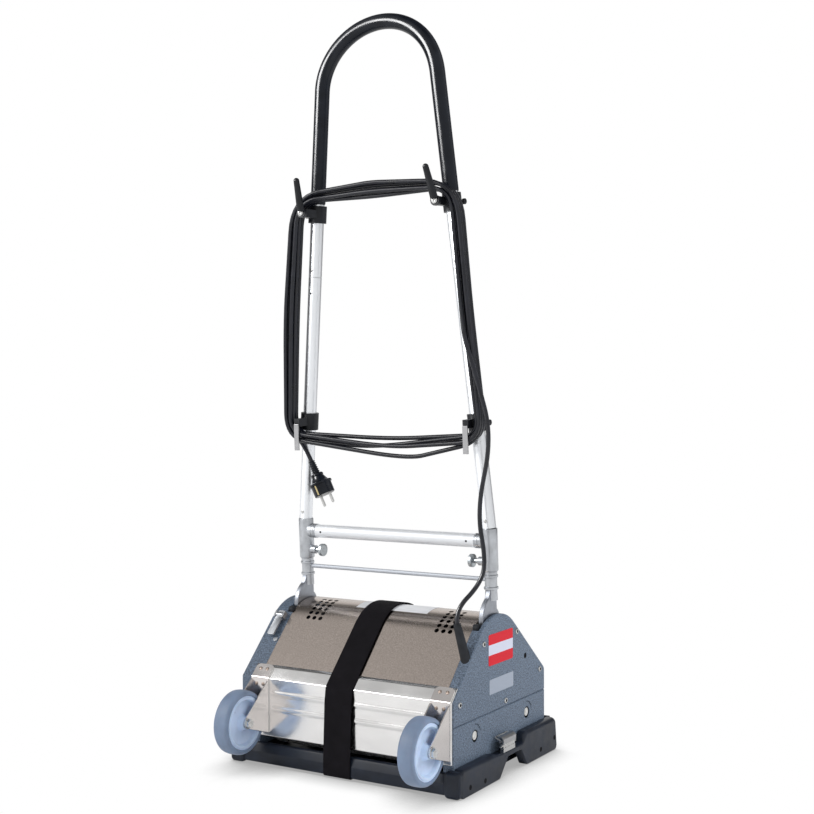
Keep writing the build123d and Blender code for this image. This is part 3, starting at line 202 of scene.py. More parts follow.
class CarpetMachineColours(bpy.types.PropertyGroup):
    """Colours of the main finishes, as linear values."""

    case_paint: bpy.props.FloatVectorProperty(
        name="Case paint", description="Grey hammered paint of the side cases",
        default=(0.118, 0.155, 0.212), subtype="COLOR", min=0, max=1)
    cover_steel: bpy.props.FloatVectorProperty(
        name="Cover steel", description="Brushed stainless sheet of the cover",
        default=(0.56, 0.487, 0.437), subtype="COLOR", min=0, max=1)
    wheel_grey: bpy.props.FloatVectorProperty(
        name="Wheel grey", description="Blue-grey plastic of the wheels", default=(0.57, 0.70, 0.92),
        subtype="COLOR", min=0, max=1)
    tray_black: bpy.props.FloatVectorProperty(
        name="Tray black", description="Black plastic of the tray", default=(0.009, 0.013, 0.023),
        subtype="COLOR", min=0, max=1)
    label_red: bpy.props.FloatVectorProperty(
        name="Label red", description="Plain coloured bands of the side label",
        default=(0.63, 0.0075, 0.022), subtype="COLOR", min=0, max=1)


# Materials


class Wiring:
    """Shader nodes of one tree: made, set and linked."""

    def __init__(self, tree):
        self.tree = tree

    def node(self, kind, **settings):
        """New node of a kind with these settings."""
        made = self.tree.nodes.new(kind)
        for setting, value in settings.items():
            setattr(made, setting, value)
        return made

    def give(self, socket, value):
        """Link another node's output to a socket, or set the socket's own value."""
        if isinstance(value, bpy.types.NodeSocket):
            self.tree.links.new(value, socket)
        else:
            socket.default_value = value

    def feed(self, made, *values, **named):
        """Give a node its inputs in their order or by name, with an underscore for each space."""
        for socket, value in zip(made.inputs, values):
            self.give(socket, value)
        for name, value in named.items():
            self.give(made.inputs[name.replace("_", " ")], value)
        return made

    def combine(self, operation, *values):
        """Result of an operation on numbers."""
        return self.feed(self.node("ShaderNodeMath", operation=operation), *values).outputs["Value"]

    def mix(self, share, first, second):
        """Shader that goes from the first to the second as the share grows."""
        return self.feed(self.node("ShaderNodeMixShader"), share, first, second).outputs["Shader"]

    def ramp(self, value, stops, interpolation="LINEAR"):
        """Colours by place along a value."""
        made = self.feed(self.node("ShaderNodeValToRGB"), value)
        made.color_ramp.interpolation = interpolation
        while len(made.color_ramp.elements) < len(stops):
            made.color_ramp.elements.new(1.0)
        for element, (place, colour) in zip(made.color_ramp.elements, stops):
            element.position = place
            element.color = (*colour, 1)
        return made.outputs["Color"]


class Finish(Wiring):
    """One procedural material: a shader fed by textures on the piece's own coordinates."""

    def __init__(self, name, colour, roughness, **sockets):
        self.material = bpy.data.materials.new(name)
        self.material.use_nodes = True
        super().__init__(self.material.node_tree)
        self.shader = self.tree.nodes["Principled BSDF"]
        self.normal = None
        self.base = tuple(colour)
        self.feed(self.shader, Base_Color=(*self.base, 1), Roughness=roughness, **sockets)

    def place(self, stretch=(1, 1, 1), source="Object"):
        """Coordinates of the piece, stretched."""
        coordinates = self.node("ShaderNodeTexCoord").outputs[source]
        made = self.feed(self.node("ShaderNodeMapping"), Vector=coordinates, Scale=stretch)
        return made.outputs["Vector"]

    def noise(self, scale, detail=3.0, rough=0.5, **where):
        """Cloudy value."""
        made = self.node("ShaderNodeTexNoise")
        self.feed(made, Vector=self.place(**where), Scale=scale, Detail=detail, Roughness=rough)
        return made.outputs["Fac"]

    def cells(self, scale):
        """Distance from the middles of rounded cells."""
        made = self.node("ShaderNodeTexVoronoi", feature="SMOOTH_F1")
        return self.feed(made, Vector=self.place(), Scale=scale).outputs["Distance"]

    def waves(self, scale, axis, **where):
        """Even waves across an axis."""
        made = self.node("ShaderNodeTexWave", bands_direction=axis, wave_profile="SIN")
        return self.feed(made, Vector=self.place(**where), Scale=scale).outputs["Fac"]

    def span(self, value, low, high, from_low=0.0, from_high=1.0):
        """Value moved from one range to another and held inside it."""
        made = self.node("ShaderNodeMapRange")
        self.feed(made, Value=value, From_Min=from_low, From_Max=from_high, To_Min=low, To_Max=high)
        return made.outputs["Result"]

    def tone(self, value, dark, light, low=0.3, high=0.7):
        """Base colour that swings from a darker to a lighter shade with a texture."""
        stops = [(low, [channel * dark for channel in self.base]),
                 (high, [min(channel * light, 1) for channel in self.base])]
        self.colour(self.ramp(value, stops))
        return self

    def colour(self, socket):
        """Base colour from another node."""
        self.feed(self.shader, Base_Color=socket)
        return self

    def rough(self, value, low, high, from_low=0.3, from_high=0.7):
        """Roughness that swings between two levels with a texture."""
        self.feed(self.shader, Roughness=self.span(value, low, high, from_low, from_high))
        return self

    def relief(self, height, depth, strength=1.0):
        """Bump of that depth in metres, laid over any bump before it."""
        made = self.node("ShaderNodeBump")
        self.feed(made, Height=height, Distance=depth, Strength=strength)
        if self.normal is not None:
            self.feed(made, Normal=self.normal)
        self.normal = made.outputs["Normal"]
        self.feed(self.shader, Normal=self.normal)
        return self


def hammered_paint(colours):
    """Grey paint that dries in small round pools."""
    finish = Finish("hammered_paint", colours.case_paint, 0.48, Specular_IOR_Level=0.34)
    pools = finish.cells(330)
    finish.tone(finish.noise(480, detail=3, rough=0.6), 0.45, 1.65, 0.34, 0.68)
    finish.rough(pools, 0.38, 0.58, 0.1, 0.6)
    return finish.relief(pools, 0.22 * MM, 0.9).material


def brushed_cover(colours):
    """Stainless sheet brushed along the brush axles."""
    finish = Finish("brushed_cover", colours.cover_steel, 0.21, Metallic=1.0)
    grain = finish.noise(1, detail=5, rough=0.65, stretch=(40, 2200, 2200))
    finish.tone(finish.noise(620, detail=3, rough=0.6), 0.80, 1.22)
    finish.rough(grain, 0.19, 0.23)
    return finish.relief(grain, 0.006 * MM, 0.3).material


def bright_sheet(name="bright_sheet", colour=(0.95, 0.94, 0.93), roughness=0.15):
    """Polished stainless sheet with faint rolling lines and smears."""
    finish = Finish(name, colour, roughness, Metallic=1.0)
    smears = finish.noise(22, detail=4, stretch=(1, 1, 2.4))
    finish.tone(smears, 0.94, 1.04)
    finish.rough(smears, roughness * 0.8, roughness * 1.7)
    return finish.relief(finish.noise(1, detail=4, stretch=(14, 1400, 1400)), 0.005 * MM, 0.25).material


def zinc(name="zinc", colour=(0.70, 0.70, 0.69)):
    """Bright plated steel, a little uneven."""
    finish = Finish(name, colour, 0.26, Metallic=1.0)
    cloud = finish.noise(160, detail=3)
    finish.tone(cloud, 0.92, 1.06)
    finish.rough(cloud, 0.22, 0.34)
    return finish.relief(finish.noise(1500, detail=2), 0.008 * MM, 0.3).material


def rivet_copper():
    """Rivet heads browned by heat and dirt."""
    finish = Finish("rivet_copper", (0.52, 0.42, 0.36), 0.34, Metallic=1.0)
    cloud = finish.noise(420, detail=3)
    finish.tone(cloud, 0.7, 1.25)
    return finish.rough(cloud, 0.28, 0.5).material


def anodised(name="anodised", stretch=(900, 900, 10), colour=(0.90, 0.92, 0.95), roughness=0.36,
             metallic=1.0):
    """Satin drawn aluminium with fine lines along its length."""
    finish = Finish(name, colour, roughness, Metallic=metallic)
    lines = finish.noise(1, detail=3, stretch=stretch)
    finish.tone(lines, 0.985, 1.01)
    finish.rough(lines, roughness * 0.95, roughness * 1.05)
    return finish.relief(lines, 0.003 * MM, 0.15).material


def cast_alloy(name="cast_alloy", colour=(0.56, 0.58, 0.61)):
    """Tumbled cast aluminium, grainy and faintly cloudy."""
    finish = Finish(name, colour, 0.36, Metallic=1.0)
    cloud = finish.noise(70, detail=4)
    finish.tone(cloud, 0.8, 1.15)
    finish.rough(cloud, 0.3, 0.46)
    finish.relief(finish.noise(700, detail=3), 0.06 * MM, 0.5)
    return finish.relief(finish.noise(120, detail=2), 0.1 * MM, 0.35).material


def black_mould(colours):
    """Black moulded plastic with a fine spark texture and pale rubs."""
    finish = Finish("black_mould", colours.tray_black, 0.36, Specular_IOR_Level=0.4)
    grain = finish.noise(1300, detail=2)
    finish.tone(finish.noise(30, detail=5), 0.8, 1.5)
    finish.rough(finish.noise(60, detail=4), 0.28, 0.44)
    return finish.relief(grain, 0.05 * MM, 0.5).material


def glossy_black(name="glossy_black", colour=(0.006, 0.008, 0.013), roughness=0.19):
    """Smooth black sleeve or coated plastic with faint ripples."""
    finish = Finish(name, colour, roughness, Specular_IOR_Level=0.28)
    ripple = finish.noise(45, detail=2)
    finish.tone(ripple, 0.8, 1.3)
    finish.rough(ripple, roughness * 0.75, roughness * 1.5)
    return finish.relief(finish.noise(9, detail=1), 0.1 * MM, 0.2).material


def dull_rubber(name="dull_rubber", colour=(0.016, 0.018, 0.022), roughness=0.55):
    """Black rubber with a dusty bloom."""
    finish = Finish(name, colour, roughness, Specular_IOR_Level=0.3)
    cloud = finish.noise(90, detail=4)
    finish.tone(cloud, 0.7, 1.5)
    finish.rough(cloud, roughness * 0.85, roughness * 1.15)
    return finish.relief(finish.noise(900, detail=2), 0.04 * MM, 0.5).material


def cord_sheath():
    """Black cord sheath: a soft gloss, dust and fine marks along its length."""
    finish = Finish("cord_sheath", (0.006, 0.007, 0.012), 0.27, Specular_IOR_Level=0.5)
    dust = finish.noise(60, detail=4)
    finish.tone(dust, 0.75, 1.5)
    finish.rough(dust, 0.25, 0.38)
    return finish.relief(finish.noise(800, detail=2), 0.015 * MM, 0.3).material


def black_webbing():
    """Woven black strap: ribs across its width, threads along its length, from its own length and width."""
    finish = Finish("black_webbing", (0.0075, 0.0065, 0.0085), 0.8, Specular_IOR_Level=0.12)
    ribs = finish.waves(260, axis="X", source="UV")
    threads = finish.waves(420, axis="Y", source="UV")
    weave = finish.combine("MULTIPLY", ribs, threads)
    finish.tone(finish.noise(40, detail=3), 0.8, 1.3)
    return finish.relief(weave, 0.25 * MM, 0.7).material


def wheel_plastic(name, colour, roughness):
    """Tough moulded plastic with a soft skin and faint scuffs."""
    finish = Finish(name, colour, roughness, Subsurface_Weight=0.05)
    cloud = finish.noise(50, detail=4)
    finish.tone(cloud, 0.9, 1.1)
    finish.rough(cloud, roughness * 0.8, roughness * 1.25)
    return finish.relief(finish.noise(700, detail=2), 0.03 * MM, 0.4).material


def banded_film(colours):
    """Plain film with a coloured band above and below a pale one, split by height."""
    low, high = corners("band_label")
    finish = Finish("banded_film", (0.62, 0.65, 0.78), 0.34, Specular_IOR_Level=0.12)
    position = finish.feed(finish.node("ShaderNodeSeparateXYZ"), Vector=finish.place())
    share = finish.span(position.outputs["Z"], 0.0, 1.0, low[2], high[2])
    red = tuple(colours.label_red)
    finish.colour(finish.ramp(share, [(0.0, red), (0.333, finish.base), (0.667, red)], "CONSTANT"))
    return finish.relief(finish.noise(240, detail=2), 0.04 * MM, 0.3).material


def plain_film(name, colour, roughness, metallic):
    """Plain label film or plate with a faint grain."""
    finish = Finish(name, colour, roughness, Metallic=metallic)
    grain = finish.noise(1, detail=3, stretch=(60, 60, 1500))
    finish.tone(grain, 0.94, 1.05)
    finish.rough(grain, roughness * 0.85, roughness * 1.2)
    return finish.relief(finish.noise(240, detail=2), 0.03 * MM, 0.3).material


def bristle():
    """Pale nylon tufts, streaked outwards."""
    finish = Finish("bristle", (0.72, 0.72, 0.70), 0.6)
    streaks = finish.noise(1, detail=3, stretch=(900, 200, 200))
    finish.tone(streaks, 0.6, 1.15)
    return finish.relief(streaks, 0.4 * MM, 0.8).material


finishes = {}


def make_finishes(colours):
    """Make each material once."""
    finishes.update(
        hammer_grey=hammered_paint(colours),
        brushed_cover=brushed_cover(colours),
        bright_sheet=bright_sheet(),
        bracket_sheet=bright_sheet("bracket_sheet", (0.77, 0.73, 0.71), 0.13),
        cut_edge=anodised("cut_edge", (300, 300, 300), (0.74, 0.73, 0.71), 0.6, 0.2),
        zinc=zinc(),
        rivet=rivet_copper(),
        brass=zinc("brass", (0.62, 0.52, 0.28)),
        anodised=anodised(),
        crossbar=anodised("crossbar_satin", (10, 900, 900), (0.88, 0.90, 0.93), 0.5, 0.4),
        cast_alloy=cast_alloy(),
        # Darker copy of the cast alloy: painted shade on the fork lugs
        lug_alloy=cast_alloy("lug_alloy", (0.37, 0.39, 0.43)),
        bright_strip=bright_sheet("bright_strip", (0.50, 0.50, 0.51), 0.24),
        rod_zinc=anodised("rod_satin", (10, 900, 900), (0.56, 0.59, 0.64), 0.5, 0.4),
        knob_steel=anodised("knob_steel", (900, 300, 300), (0.44, 0.47, 0.49), 0.32),
        soft_black=glossy_black("soft_black", (0.010, 0.011, 0.014), 0.34),
        motor_alloy=cast_alloy("motor_alloy", (0.35, 0.36, 0.38)),
        black_plastic=black_mould(colours),
        glossy_black=glossy_black(),
        black_rubber=dull_rubber(),
        # Near-black finish of painted shade, for discs and arcs that stand in for shade in holes and round
        # edges
        hollow=dull_rubber("hollow_dark", (0.003, 0.003, 0.004), 0.9),
        cord=cord_sheath(),
        webbing=black_webbing(),
        wheel_grey=wheel_plastic("wheel_grey", colours.wheel_grey, 0.34),
        tyre_grey=wheel_plastic("tyre_grey", (0.20, 0.266, 0.388), 0.5),
        label_film=banded_film(colours),
        white_film=plain_film("white_film", (0.80, 0.81, 0.84), 0.35, 0.0),
        plate_silver=plain_film("plate_silver", (0.35, 0.40, 0.49), 0.36, 0.3),
        brush_fibre=bristle(),
    )


# Surfaces, with the flat strip inside a moulded rim and the distances under which points are merged

PILLOW_FLAT = 1.2 * MM
MERGE = 0.002 * MM
MERGE_NODE = 0.004 * MM
SHORTEST_EDGE = 0.001 * MM


def surface(grid, wrap_rows=False, wrap_columns=False):
    """Points and quads of a grid of points; wrapping joins the last row or column to the first."""
    rows, columns = grid.shape[:2]
    index = np.arange(rows * columns).reshape(rows, columns)
    if wrap_rows:
        index = np.vstack([index, index[:1]])
    if wrap_columns:
        index = np.hstack([index, index[:, :1]])
    quads = np.stack([index[:-1, :-1], index[:-1, 1:], index[1:, 1:], index[1:, :-1]], axis=-1)
    return grid.reshape(-1, 3), quads.reshape(-1, 4)


def across(axis, reference=None):
    """Two directions square to an axis, the first as near to the reference as can be."""
    axis = unit(axis)
    if reference is None:
        reference = ALONG_Z if abs(axis[2]) < 0.9 else ALONG_X
    first = unit(reference - axis * (reference @ axis))
    return first, np.cross(axis, first)


def turned(profile, centre, axis, steps=48, section=None):
    """Surface of turning: each profile row is a place along the axis and a radius, carried once round.

    A section, rows of factors by angle, makes rings of another outline such as a hexagon.
    """
    profile = np.asarray(profile, float)
    first, second = across(axis)
    angle = np.linspace(0, 2 * np.pi, steps, endpoint=False)
    round_way = np.cos(angle)[:, None] * first + np.sin(angle)[:, None] * second
    radius = profile[:, 1, None] * (np.ones((1, steps)) if section is None else section)
    grid = np.asarray(centre) + profile[:, 0, None, None] * unit(axis) + radius[..., None] * round_way
    return surface(grid, wrap_columns=True)


def hexagon(steps=48):
    """Factors that turn a circle of corners into a hexagon."""
    angle = np.linspace(0, 2 * np.pi, steps, endpoint=False)
    return math.cos(math.pi / 6) / np.cos(angle % (math.pi / 3) - math.pi / 6)


def stacked(rings, centre, axis, steps=48):
    """Surface of turning from rows of place and radius in mm and whether that ring is a hexagon."""
    profile = np.array([(place, radius) for place, radius, _ in rings]) * MM
    section = np.array([hexagon(steps) if six else np.ones(steps) for _, _, six in rings])
    return turned(profile, centre, axis, steps, section)


def carried(path, outline, reference, growth=None, closed=False):
    """Surface of a flat outline carried along a path, its first axis kept near the reference."""
    path = np.asarray(path, float)
    outline = np.asarray(outline, float)
    if closed:
        way = np.roll(path, -1, axis=0) - np.roll(path, 1, axis=0)
    else:
        way = np.gradient(path, axis=0)
    way = unit(way)
    reference = np.broadcast_to(reference, path.shape)
    first = unit(reference - way * np.sum(reference * way, axis=1, keepdims=True))
    second = np.cross(way, first)
    growth = np.ones(len(path)) if growth is None else np.asarray(growth, float)
    grown = outline[None] * growth[:, None, None]
    grid = path[:, None] + grown[..., :1] * first[:, None] + grown[..., 1:] * second[:, None]
    return surface(grid, wrap_rows=closed, wrap_columns=True)


def ring(radius, sides):
    """Outline of a circle."""
    angle = np.linspace(0, 2 * np.pi, sides, endpoint=False)
    return radius * np.column_stack([np.cos(angle), np.sin(angle)])


def capped(grid):
    """Closed skin over rows of rings: the wall through them, and a lid on the first and the last."""
    points, quads = surface(grid, wrap_columns=True)
    count = grid.shape[1]
    lids = [list(range(count))[::-1], list(range(len(points) - count, len(points)))]
    return points, [list(quad) for quad in quads] + lids


def plate(outline, thickness):
    """Flat slab from a closed outline of points in space: two lids and the wall between them."""
    outline = np.asarray(outline, float)
    return capped(np.stack([outline, outline + thickness]))


def rounded(points, radii, steps=6):
    """Closed flat outline with each corner replaced by an arc: tangent points joined through the turn."""
    points = np.asarray(points, float)
    radii = np.broadcast_to(radii, len(points))
    before = unit(np.roll(points, 1, axis=0) - points)
    after = unit(np.roll(points, -1, axis=0) - points)
    half = np.arccos(np.clip(np.sum(before * after, axis=1), -1, 1)) / 2
    reach = radii / np.tan(half)
    centre = points + unit(before + after) * (radii / np.sin(half))[:, None]
    start = points + before * reach[:, None] - centre
    end = points + after * reach[:, None] - centre
    share = np.linspace(0, 1, steps)[None, :, None]
    spread = np.arccos(np.clip(np.sum(unit(start) * unit(end), axis=1), -1, 1))[:, None, None]
    blend = (np.sin((1 - share) * spread) * start[:, None] + np.sin(share * spread) * end[:, None])
    return (centre[:, None] + blend / np.sin(spread)).reshape(-1, points.shape[1])


def pillow(outline, edges, depth, back, rise, steps=7):
    """Moulded block: a flat outline raised by its depth, its front rim turned in by a quarter round.

    The outline is rows of points in space, edges the radius of the round at each point, back the
    direction of the outline's inside at each point and rise the direction of the depth. Point and
    angle a of the round give: outline + inside * edge * (1 - cos a) + rise * (depth - edge + edge * sin a).
    """
    edges = np.asarray(edges, float)[:, None]
    rows = [outline]
    for angle in np.linspace(0, math.pi / 2, steps):
        inset = back * edges * (1 - math.cos(angle))
        rows.append(outline + inset + rise * (depth - edges + edges * math.sin(angle)))
    rows.append(rows[-1] + back * PILLOW_FLAT)
    return capped(np.array(rows))


def inward(outline):
    """Unit directions to the inside of a closed flat outline that runs anticlockwise."""
    way = unit(np.roll(outline, -1, axis=0) - np.roll(outline, 1, axis=0))
    return np.column_stack([-way[:, 1], way[:, 0]])


def new_object(name, mesh_or_curve):
    """Object in the scene with this mesh or curve."""
    made = bpy.data.objects.new(name, mesh_or_curve)
    bpy.context.scene.collection.objects.link(made)
    return made


def smooth_mesh(mesh, angle=35):
    """Shade smooth, and keep edges sharper than the angle."""
    mesh.polygons.foreach_set("use_smooth", np.ones(len(mesh.polygons), bool))
    mesh.set_sharp_from_angle(angle=math.radians(angle))


def mesh_of(name, surfaces, angle=35):
    """One mesh from several surfaces, with doubles merged and normals outward."""
    points = []
    faces = []
    count = 0
    for some_points, some_faces in surfaces:
        points.append(some_points)
        faces += [[int(corner) + count for corner in face] for face in some_faces]
        count += len(some_points)
    mesh = bpy.data.meshes.new(name)
    mesh.from_pydata(np.concatenate(points), [], faces)
    work = bmesh.new()
    work.from_mesh(mesh)
    bmesh.ops.remove_doubles(work, verts=work.verts, dist=MERGE)
    bmesh.ops.dissolve_degenerate(work, edges=work.edges, dist=SHORTEST_EDGE)
    bmesh.ops.recalc_face_normals(work, faces=work.faces)
    work.to_mesh(mesh)
    work.free()
    smooth_mesh(mesh, angle)
    return mesh


def settle(made, body, finish, nodes=()):
    """Give a piece its finish, what it stands for and the body it rides on."""
    made.data.materials.clear()
    made.data.materials.append(finishes[finish])
    if nodes:
        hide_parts(*nodes)
    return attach(made, body)


def piece(name, surfaces, body, finish, nodes=(), angle=35):
    """Finished piece from its surfaces."""
    return settle(new_object(name, mesh_of(name, surfaces, angle)), body, finish, nodes)


def bevel(made, width, segments=3, angle=35):
    """Round the sharp edges of a piece."""
    modifier = made.modifiers.new("edges", "BEVEL")
    modifier.width = width
    modifier.segments = segments
    modifier.limit_method = "ANGLE"
    modifier.angle_limit = math.radians(angle)
    modifier.harden_normals = True
    modifier.use_clamp_overlap = True
    return made


def softened(node, body, finish, width, segments=3, angle=35):
    """Copy of a CAD node with its edges rounded, in the node's place."""
    mesh = frame["nodes"][node].data.copy()
    mesh.name = node + "_dressed"
    work = bmesh.new()
    work.from_mesh(mesh)
    bmesh.ops.remove_doubles(work, verts=work.verts, dist=MERGE_NODE)
    bmesh.ops.dissolve_limit(work, angle_limit=math.radians(0.4), verts=work.verts, edges=work.edges)
    work.to_mesh(mesh)
    work.free()
    smooth_mesh(mesh, angle)
    made = new_object(node + "_dressed", mesh)
    settle(made, body, finish, [node])
    return bevel(made, width, segments, angle)


def thicken(made, thickness, rim=None):
    """Give an open surface the thickness of its sheet, half to each side; rim is its cut edge's finish."""
    modifier = made.modifiers.new("sheet", "SOLIDIFY")
    modifier.thickness = thickness
    modifier.offset = 0
    modifier.use_even_offset = True
    if rim:
        made.data.materials.append(finishes[rim])
        modifier.material_offset_rim = 1
    return made


def folded(climb, out, radius):
    """Side line of a sheet that comes down the front slope and folds to upright through an arc."""
    half = (math.pi / 2 - FRONT_SLOPE) / 2
    slope = on_slope(0.0, np.append(climb, (radius - out) * math.tan(half)), out)
    turn = np.linspace(0, 2 * half, 6)[1:, None]
    middle = slope[-1] - SLOPE_OUT * radius
    return np.vstack([slope, middle + radius * (np.cos(turn) * SLOPE_OUT - np.sin(turn) * SLOPE_UP)])


def spline_points(points, steps):
    """Points along the smooth line that has these points as its control points."""
    curve = line_curve("line", points, steps)
    carrier = bpy.data.objects.new("line", curve)
    mesh = bpy.data.meshes.new_from_object(carrier)
    found = np.empty(len(mesh.vertices) * 3)
    mesh.vertices.foreach_get("co", found)
    bpy.data.objects.remove(carrier)
    bpy.data.meshes.remove(mesh)
    bpy.data.curves.remove(curve)
    return found.reshape(-1, 3)


def lengths_gone(points, closed=False):
    """Length gone at each point of a line, and back at the first point where it is closed."""
    if closed:
        points = np.vstack([points, points[:1]])
    return np.concatenate([[0], np.cumsum(np.linalg.norm(np.diff(points, axis=0), axis=1))])


def line_curve(name, points, steps):
    """Curve of one open smooth spline with these control points."""
    curve = bpy.data.curves.new(name, "CURVE")
    curve.dimensions = "3D"
    spline = curve.splines.new("NURBS")
    spline.points.add(len(points) - 1)
    spline.points.foreach_set("co", np.hstack([points, np.ones((len(points), 1))]).ravel())
    spline.order_u = 3
    spline.use_endpoint_u = True
    spline.resolution_u = steps
    curve.resolution_u = steps
    return curve


# Cord: loose turns on the hooks, a free run to the strain relief and a tail to the plug

COIL_FORE = 18.4 * MM
LAYER_PITCH = 7.9 * MM
COIL_TOP = (144 * MM, 671.5 * MM)
COIL_LOW = (176 * MM, 290 * MM)
COIL_CROWN = 5 * MM
COIL_BULGES = np.array((5, -6)) * MM
COIL_RINGS = (1, 0, 0, 1, 1, 0)
COIL_LAYERS = (0, 0, 1, 1, 2, 2)
COIL_START_UP = 395 * MM
COIL_END = ((440 * MM, 0.4, 3.0), (388 * MM, 1.8, 3.1), (335 * MM, 2.7, 2.9))
COIL_SAGS = np.array((18, 8, 17.5, 30, 16)) * MM
SAG_PLACES = np.array((-55, 15, -20, 50, 20)) * MM
TOP_REACH = np.array((82, 32)) * MM
LOW_REACH = np.array((62, 22)) * MM
LOOSE_LEFT = np.array((2.0, -1.5, -2.0, 1.0, 3.5, 1.0)) * MM
LOOSE_RIGHT = np.array((3.0, 0.5, 1.5, 3.0, 5.0, 3.0)) * MM
LOOSE_TOP = np.array((-1.5, -5.0, -8.0, 0.5, 5.0, 0.0)) * MM
RELIEF_BASE = (186 * MM, -100 * MM)
RELIEF_AXIS = unit((-0.22, -0.10, 0.97))
RELIEF_LENGTH = 46 * MM
RELIEF_STRAIGHT = 25 * MM
RUN_DROP = 48 * MM
RUN_POINTS = np.array(((194, -68, 302), (200.5, -60, 337), (185, -61, 414))) * MM
TAIL_DROP = 36 * MM
TAIL_CORNER = (-192 * MM, 304 * MM)
TAIL_FORE = 15.4 * MM
PLUG_TOP = (-148.4 * MM, 241.2 * MM)
PLUG_TILT = math.radians(25)
PLUG_STRAIGHT = 22 * MM


def plug_point(along, sideways=0.0):
    """Point along the plug's axis from the top of its sleeve, and across it."""
    way = (math.sin(PLUG_TILT), -math.cos(PLUG_TILT))
    x = PLUG_TOP[0] + along * way[0] - sideways * way[1]
    up = PLUG_TOP[1] + along * way[1] + sideways * way[0]
    return on_handle(x, up, TAIL_FORE)


def coil_route(pitch):
    """Corners and middles of the turns: they spiral in behind, climb along the bottom, spiral out in front.

    Each corner has a point on either side of it, so that the line bends round the hooks and runs
    straight between them. The turns lie a little loose: their middles stand off by their own amounts and
    each bottom run sags at its own place.
    """
    mid = (COIL_TOP[0] + COIL_LOW[0]) / 2
    mid_up = (COIL_TOP[1] + COIL_LOW[1]) / 2

    def spot(x, up, ring_x, ring_up, layer):
        """Point of a turn, moved out by its ring and forward by its layer."""
        return on_handle(x + ring_x * pitch, up + ring_up * pitch, COIL_FORE + layer * LAYER_PITCH)

    posts = []
    for turn, (ring_of, layer) in enumerate(zip(COIL_RINGS, COIL_LAYERS)):
        left = mid + COIL_BULGES[0] + LOOSE_LEFT[turn]
        right = mid + COIL_BULGES[1] + LOOSE_RIGHT[turn]
        top_reach = TOP_REACH[0] + ring_of * TOP_REACH[1]
        low_reach = LOW_REACH[0] + ring_of * LOW_REACH[1]
        if turn == 0:
            share = (COIL_START_UP - COIL_LOW[1]) / (mid_up - COIL_LOW[1])
            start_x = COIL_LOW[0] + share * (left - COIL_LOW[0])
            posts.append((spot(-start_x, COIL_START_UP, -ring_of, 0, layer), None))
        else:
            posts.append((spot(-COIL_LOW[0], COIL_LOW[1], -ring_of, -ring_of, layer), low_reach))
        posts.append((spot(-left, mid_up, -ring_of, 0, layer), None))
        posts.append((spot(-COIL_TOP[0], COIL_TOP[1], -ring_of, ring_of, layer), top_reach))
        posts.append((spot(0, COIL_TOP[1] + COIL_CROWN + LOOSE_TOP[turn], 0, ring_of, layer), None))
        posts.append((spot(COIL_TOP[0], COIL_TOP[1], ring_of, ring_of, layer), top_reach))
        posts.append((spot(right, mid_up, ring_of, 0, layer), None))
        if turn < len(COIL_RINGS) - 1:
            mean_ring = (ring_of + COIL_RINGS[turn + 1]) / 2
            mean_layer = (layer + COIL_LAYERS[turn + 1]) / 2
            posts.append((spot(COIL_LOW[0], COIL_LOW[1], ring_of, -ring_of, layer), low_reach))
            sag_up = COIL_LOW[1] - COIL_SAGS[turn]
            posts.append((spot(SAG_PLACES[turn], sag_up, 0, -mean_ring, mean_layer), None))
        else:
            for up, end_ring, end_layer in COIL_END:
                share = (up - COIL_LOW[1]) / (mid_up - COIL_LOW[1])
                end_x = COIL_LOW[0] + share * (right - COIL_LOW[0])
                posts.append((spot(end_x, up, end_ring, 0, end_layer), None))
    route = []
    for number, (here, reach) in enumerate(posts):
        if reach is None:
            route.append(here)
            continue
        before = unit(posts[number - 1][0] - here)
        after = unit(posts[number + 1][0] - here)
        route += [here + before * reach, here, here + after * reach]
    return np.array(route)


def tail_route(coil):
    """From the coil's inner end behind it and down to the plug."""
    drop = coil[0] - unit(coil[1] - coil[0]) * TAIL_DROP
    return np.array([drop, on_handle(*TAIL_CORNER, TAIL_FORE), plug_point(-PLUG_STRAIGHT), plug_point(0)])


def relief_foot():
    """Middle of the strain relief where it stands on the right slope."""
    climb = (HALF_DEPTH + RELIEF_BASE[1]) * FRONT_RISE
    return np.array([RELIEF_BASE[0], CASE_Y + RELIEF_BASE[1], SHOULDER + climb])


def run_route(coil):
    """From the strain relief up beside the right leg to the coil's outer end."""
    exit_point = relief_foot() + RELIEF_AXIS * RELIEF_LENGTH
    middle = RUN_POINTS + CASE_Y * ALONG_Y
    way = unit(coil[-1] - coil[-2])
    return np.vstack([exit_point, exit_point + RELIEF_AXIS * RELIEF_STRAIGHT, middle,
                      coil[-1] + way * RUN_DROP, coil[-1]])


